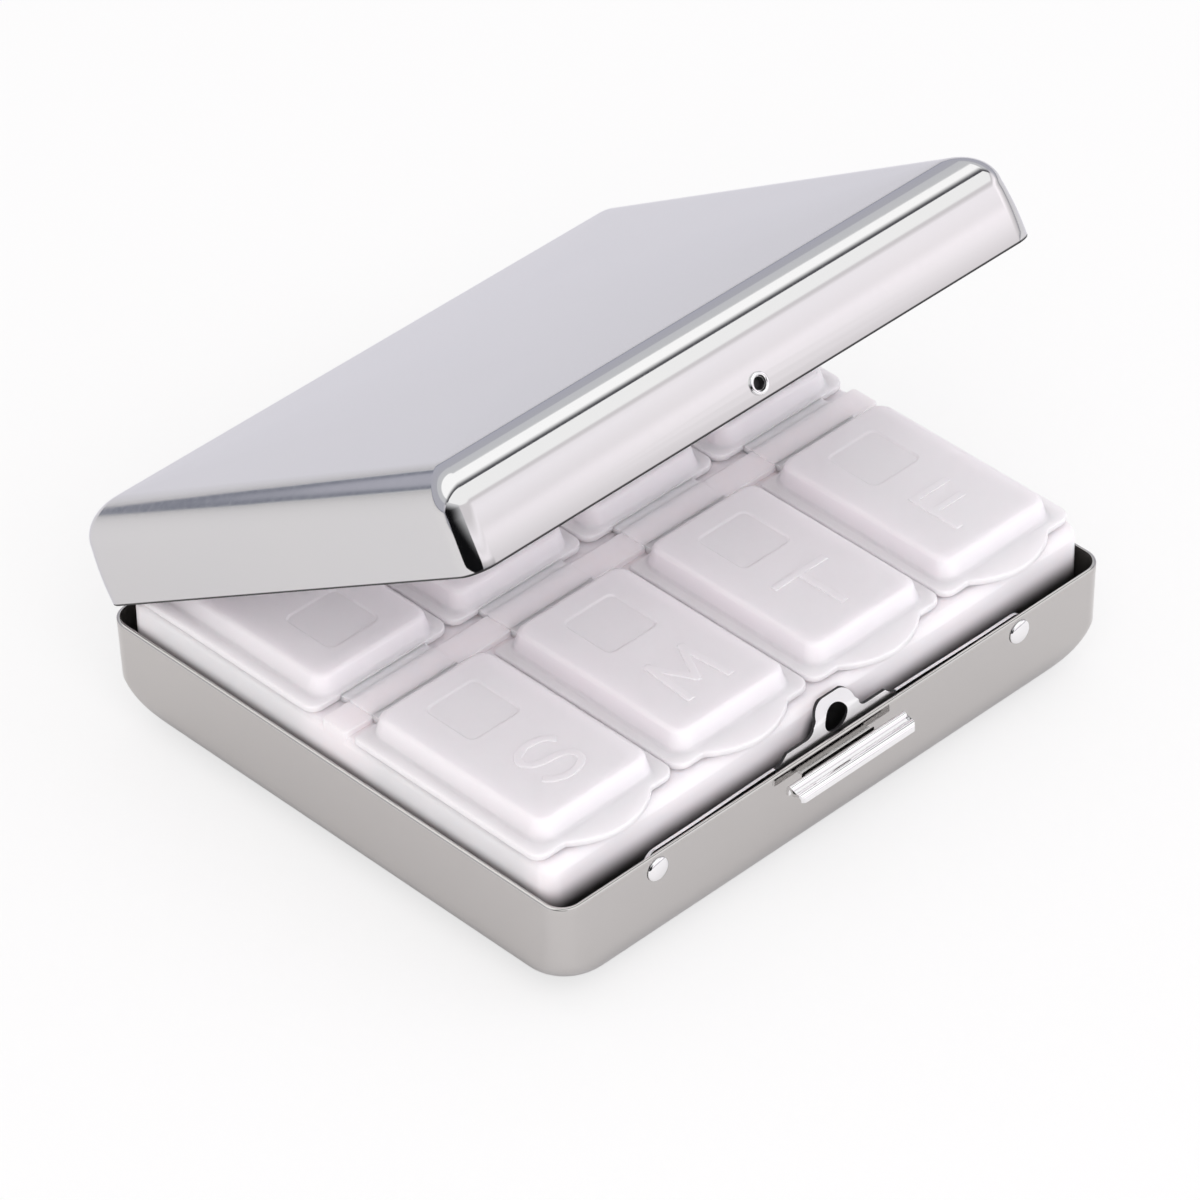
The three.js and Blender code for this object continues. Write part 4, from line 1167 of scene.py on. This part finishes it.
def make_insert():
    rings = []
    for step, (rise, fall) in reversed(list(enumerate(quarter_round(EDGE_STEPS)))):
        inset = INSERT_EDGE * rise
        corner = INSERT_CORNER + (INSERT_BASE_CORNER - INSERT_CORNER) * step / EDGE_STEPS
        z = INSERT_FLOOR + INSERT_EDGE * fall
        rings.append(rounded_ring(INSERT_HALF_LENGTH - inset, INSERT_HALF_WIDTH - inset, corner, z))
    round_x, round_y = INSERT_TOP_ROUND
    for rise, fall in quarter_round(FILLET_STEPS):
        half_x = INSERT_HALF_LENGTH - round_x * rise
        half_y = INSERT_HALF_WIDTH - round_y * rise
        z = INSERT_TOP - round_y * fall
        rings.append(rounded_ring(half_x, half_y, INSERT_CORNER - round_x * rise, z))
    insert = loft(rings)
    for column in range(BIN_COLUMNS):
        for row in (-1, 1):
            insert = cut(insert, bin_tool(column, row))
    half = SPINE_TOP_HALF_WIDTH
    length = INSERT_HALF_LENGTH
    root = INSERT_TOP - BIN_WALL
    spine = rounded_rectangle(-length, length, -half, half, SPINE_CORNER)
    insert = joined(insert, plate(spine, root, FLANGE_TOP - SPINE_PANEL_STEP, SPINE_ROUND))
    for column in range(BIN_COLUMNS):
        left = column_centre(column) - PANEL_HALF_LENGTH
        panel = rounded_rectangle(left, left + 2 * PANEL_HALF_LENGTH, -half, half, PANEL_CORNER)
        insert = joined(insert, plate(panel, root, FLANGE_TOP, PANEL_ROUND))
    return piece("moulded_insert", insert, insert_plastic, "tray", ["pill_insert"])


# Flaps

def flange_outline(left, right, hinge_corner):
    """Outline of a flange with its rounded thumb lip, about a bending line along X at zero."""
    rear = -FLANGE_REAR_GAP
    front = -FLANGE_FRONT
    corner = FLANGE_FRONT_CORNER
    lip_radius = (LIP_HALF_WIDTH ** 2 + LIP_REACH ** 2) / (2 * LIP_REACH)
    lip_centre = front - LIP_REACH + lip_radius
    foot_y = front - LIP_FILLET
    foot_x = math.sqrt((lip_radius + LIP_FILLET) ** 2 - (lip_centre - foot_y) ** 2)
    lean = math.degrees(math.atan2(foot_x, lip_centre - foot_y))
    lip = (
        arc((-foot_x, foot_y), LIP_FILLET, 90, 90 - lean, 8)
        + arc((0, lip_centre), lip_radius, -90 - lean, -90 + lean, 40)
        + arc((foot_x, foot_y), LIP_FILLET, 90 + lean, 90, 8)
    )
    return (
        arc((right - hinge_corner, rear - hinge_corner), hinge_corner, 0, 90, 8)
        + arc((-left + hinge_corner, rear - hinge_corner), hinge_corner, 90, 180, 8)
        + arc((-left + corner, front + corner), corner, 180, 270, 8)
        + lip
        + arc((right - corner, front + corner), corner, 270, 360, 8)
    )


def plateau_shape(offset, bottom, foot):
    """The raised middle of a flap as seen from a distance inside its skin."""
    top = FLANGE_THICKNESS / 2 + PLATEAU_HEIGHT - offset
    base = FLANGE_THICKNESS / 2
    half_x = PLATEAU_WIDTH / 2 - offset
    half_y = (PLATEAU_FRONT - PLATEAU_REAR) / 2 - offset
    centre = (0.0, -(PLATEAU_FRONT + PLATEAU_REAR) / 2)
    corner = PLATEAU_CORNER - offset
    edge = PLATEAU_EDGE - offset / 2
    draft = PLATEAU_DRAFT
    rings = []
    if foot:
        rings.append(grown_ring(half_x, half_y, corner, draft + foot, bottom, centre))
        for rise, fall in quarter_round(FILLET_STEPS):
            rings.append(grown_ring(half_x, half_y, corner, draft + foot * fall, base + foot * rise, centre))
    else:
        rings.append(rounded_ring(half_x + draft, half_y + draft, corner, bottom, centre))
    for rise, fall in quarter_round(FILLET_STEPS):
        inset = edge * rise
        z = top - edge * fall
        rings.append(rounded_ring(half_x - inset, half_y - inset, max(corner - inset / 2, 0.2), z, centre))
    return loft(rings)


def window_tool(roof):
    """The shallow square recess, with a soft upper edge."""
    half = WINDOW_SIZE / 2
    centre = (0.0, -WINDOW_REAR - half)
    rings = []
    for share in (0.0, 0.15, 0.3, 0.5, 0.7, 0.85, 1.0):
        grow = WINDOW_SOFTNESS * (2 * share - 1)
        z = roof - WINDOW_DEPTH * (1 - share * share * (3 - 2 * share))
        rings.append(grown_ring(half, half, WINDOW_CORNER, grow, z, centre))
    rings.append(grown_ring(half, half, WINDOW_CORNER, 1.5 * WINDOW_SOFTNESS, roof + 0.5, centre))
    return loft(rings)


def letter_strokes(letter):
    """Centre lines of a block letter: the S is one curved stroke, the rest are straight ones."""
    if letter != "S":
        lines = LETTER_LINES[letter]
        return [[Vector(start), Vector(end)] for line in lines for start, end in zip(line, line[1:])]
    points = []
    for side, start, turn in ((1, 20, 250), (-1, 90, -250)):
        for step in range(17):
            angle = math.radians(start + turn * step / 16)
            points.append(Vector((S_HALF_WIDTH * math.cos(angle), S_BOW * (side + math.sin(angle)))))
    return [without_repeats(points)]


def stroke_shape(points, roof, place):
    """One raised stroke with soft upper edges, rooted in the flap's roof."""
    half = LETTER_STROKE / 2
    first = (points[0] - points[1]).normalized()
    last = (points[-1] - points[-2]).normalized()
    line = [points[0] + first * half] + points[1:-1] + [points[-1] + last * half]
    outline = [Vector((place.x + p.x, place.y + p.y)) for p in strip(line, LETTER_STROKE)]
    return plate(outline, roof - LETTER_ROOT, roof + LETTER_RAISE, LETTER_RAISE * LETTER_ROUND)


def flap_shape(column, row, letter):
    inner = (BIN_PITCH - FLAP_SIDE_GAP) / 2
    outer = BIN_PITCH / 2 + FLANGE_OVERHANG
    left = outer if column == 0 else inner
    right = outer if column == BIN_COLUMNS - 1 else inner
    if row > 0:
        left, right = right, left
    middle = FLANGE_THICKNESS / 2
    roof = middle + PLATEAU_HEIGHT
    outline = flange_outline(left, right, FLANGE_HINGE_CORNER[row])
    flange = plate(outline, -middle, middle, FLANGE_ROUND, FLANGE_ROUND / 2)
    flap = joined(flange, plateau_shape(0.0, 0.0, PLATEAU_FOOT))
    flap = cut(flap, plateau_shape(PLATEAU_WALL, -middle - 1.0, 0.0), window_tool(roof))
    turn = 1 if row < 0 else -1
    place = Vector((0.0, -LETTER_CENTRE))
    for points in letter_strokes(letter):
        upright_points = [p * turn for p in points]
        flap = joined(flap, stroke_shape(upright_points, roof, place))
    return flap


def make_flaps(letters):
    for row, name in ((-1, "front"), (1, "back")):
        for column in range(BIN_COLUMNS):
            number = str(column + 1)
            shape = flap_shape(column, row, letters[row][column])
            place = Matrix.Translation((column_centre(column), row * HINGE_LINE_Y, FLAP_AXIS_Z))
            if row > 0:
                place = place @ Matrix.Rotation(math.pi, 4, "Z")
            body = name + "_flap_" + number
            node = "flap_" + name + "_" + number
            piece("cover_" + name + "_" + number, shape, flap_plastic, body, [node], place)
            make_web(column, row, name, number)


def make_web(column, row, name, number):
    """The thin living hinge between the spine and a flap."""
    centre = column_centre(column)
    near = SPINE_TOP_HALF_WIDTH - WEB_OVERLAP
    far = HINGE_LINE_Y + FLANGE_REAR_GAP + WEB_OVERLAP
    low = FLANGE_TOP - WEB_BOTTOM_STEP
    high = FLANGE_TOP - WEB_TOP_STEP[row]
    rings = []
    left, right = centre - WEB_HALF_LENGTH, centre + WEB_HALF_LENGTH
    for step in range(WEB_STEPS + 1):
        y = row * (near + (far - near) * step / WEB_STEPS)
        corners = ((left, low), (right, low), (right, high), (left, high))
        rings.append([Vector((x, y, z)) for x, z in corners])
    web = piece("web_" + name + "_" + number, loft(rings), insert_plastic, None)
    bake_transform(web)


# Floor, light and background

def stage_sheet(name, corners, material):
    """A flat four-cornered sheet that isn't part of the object."""
    mesh = bpy.data.meshes.new(name)
    mesh.from_pydata(corners, [], [(0, 1, 2, 3)])
    mesh.materials.append(material)
    sheet = bpy.data.objects.new(name, mesh)
    bpy.context.scene.collection.objects.link(sheet)
    return sheet


def make_floor():
    material, graph, shader = new_material("studio_table")
    graph.fill(shader, {
        "Base Color": opaque((0.97, 0.97, 0.97)), "Roughness": 0.9, "Specular IOR Level": 0.1,
    })
    glow = graph.add("Emission", {"Color": opaque((0.98, 0.98, 0.98))}).outputs["Emission"]
    path = graph.add("LightPath", {}).outputs
    graph.cover(graph.math("MULTIPLY", path["Is Camera Ray"], TABLE_GLOW), glow)
    size = TABLE_HALF_SIZE
    corners = [(x, y, -TABLE_DROP) for x, y in ((-size, -size), (size, -size), (size, size), (-size, size))]
    stage_sheet("studio_table", corners, material)


def add_softbox(name, place, width, height, watts, colour):
    """A soft lamp aimed at the case. The metal mirrors the studio's walls and not the lamp."""
    data = bpy.data.lights.new(name, "AREA")
    data.shape = "RECTANGLE"
    data.size = width
    data.size_y = height
    data.energy = watts
    data.color = colour
    lamp = bpy.data.objects.new(name, data)
    lamp.location = place
    lamp.rotation_euler = (Vector(place) - Vector((0, 0, 0.02))).to_track_quat("Z", "Y").to_euler()
    lamp.visible_glossy = False
    bpy.context.scene.collection.objects.link(lamp)


def wall_by_height(graph, z, levels):
    """A wall painted in level bands, from just under the table's edge to overhead."""
    lowest = -0.1
    ramp = graph.add("ValToRGB", {"Fac": graph.ranged(z, lowest, 1.0, 0.0, 1.0)})
    elements = ramp.color_ramp.elements
    elements[0].color = opaque(levels[0][1])
    elements[1].color = opaque(levels[-1][1])
    for level, colour in levels:
        elements.new((level - lowest) / (1.0 - lowest)).color = opaque(colour)
    return ramp.outputs["Color"]


def studio_walls(graph):
    """What polished metal mirrors: a grey wall behind, bright ones in front, a gap between lights above."""
    x, y, z = graph.split(graph.place("Generated"))
    rear = wall_by_height(graph, z, REAR_WALL)
    front = wall_by_height(graph, z, FRONT_WALL)
    right, forward = LIT_WALL_DIRECTION
    towards_lamp = graph.math("ADD", graph.math("MULTIPLY", x, right), graph.math("MULTIPLY", y, forward))
    brighter = graph.ranged(towards_lamp, 0.88, 0.94, 0.90, 1.10)
    lit_front = graph.add("VectorMath", {0: front, "Scale": brighter}, operation="SCALE").outputs["Vector"]
    walls = graph.blend(graph.share(y, 0.1, -0.3), rear, lit_front)
    soft_start, soft_end, sharp_end = CEILING_GAP
    across = graph.math(
        "MULTIPLY",
        graph.share(y, soft_start, soft_end),
        graph.share(y, sharp_end - 0.008, sharp_end + 0.008),
    )
    gap = graph.math("MULTIPLY", across, graph.share(z, 0.4, 0.55))
    return graph.blend(gap, walls, CEILING_GAP_PAINT)


def add_dark_card():
    """A dark card that stands at the camera's left, which only polished metal shows."""
    material, graph, shader = new_material("dark_card")
    graph.nodes.remove(shader)
    height = graph.share(graph.split(graph.place())["Z"], CARD_BLACK_HEIGHT, CARD_HEIGHT)
    glow = graph.add("Emission", {"Color": graph.blend(height, CARD_BLACK, CARD_PALE)})
    graph.links.new(glow.outputs["Emission"], graph.surface())
    towards = Vector((*CARD_PLACE, 0.0)).normalized()
    across = Vector((-towards.y, towards.x, 0.0)) * CARD_HALF_WIDTH
    foot = towards * CARD_DISTANCE
    up = Vector((0.0, 0.0, CARD_HEIGHT))
    corners = [foot - across, foot + across, foot + across + up, foot - across + up]
    card = stage_sheet("dark_card", corners, material)
    card.visible_camera = False
    card.visible_diffuse = False
    card.visible_transmission = False
    card.visible_shadow = False


def light_studio():
    world = bpy.data.worlds.new("studio")
    bpy.context.scene.world = world
    world.use_nodes = True
    graph = Graph(world.node_tree)
    graph.nodes.clear()
    looks = ((FILL_COLOUR, FILL_STRENGTH), (studio_walls(graph), MIRROR_STRENGTH), (WHITE, 1.0))
    fill, mirrored, seen = (
        graph.add("Background", {"Color": opaque(colour), "Strength": strength}).outputs["Background"]
        for colour, strength in looks
    )
    path = graph.add("LightPath", {}).outputs
    indirect = graph.mixed(path["Is Glossy Ray"], fill, mirrored)
    direct = graph.math("MAXIMUM", path["Is Camera Ray"], path["Is Transmission Ray"])
    graph.add("OutputWorld", {"Surface": graph.mixed(direct, indirect, seen)})
    for lamp in SOFTBOXES:
        add_softbox(*lamp)
    add_dark_card()
    bpy.context.scene.view_settings.view_transform = "Standard"


place_camera()
make_tray()
make_lid()
make_hinge()
make_spring_arms()
make_tongue()
make_thumb_piece()
make_rivets()
make_stud()
make_insert()
make_flaps({-1: "SMTF", 1: "+WTS"})
make_floor()
light_studio()
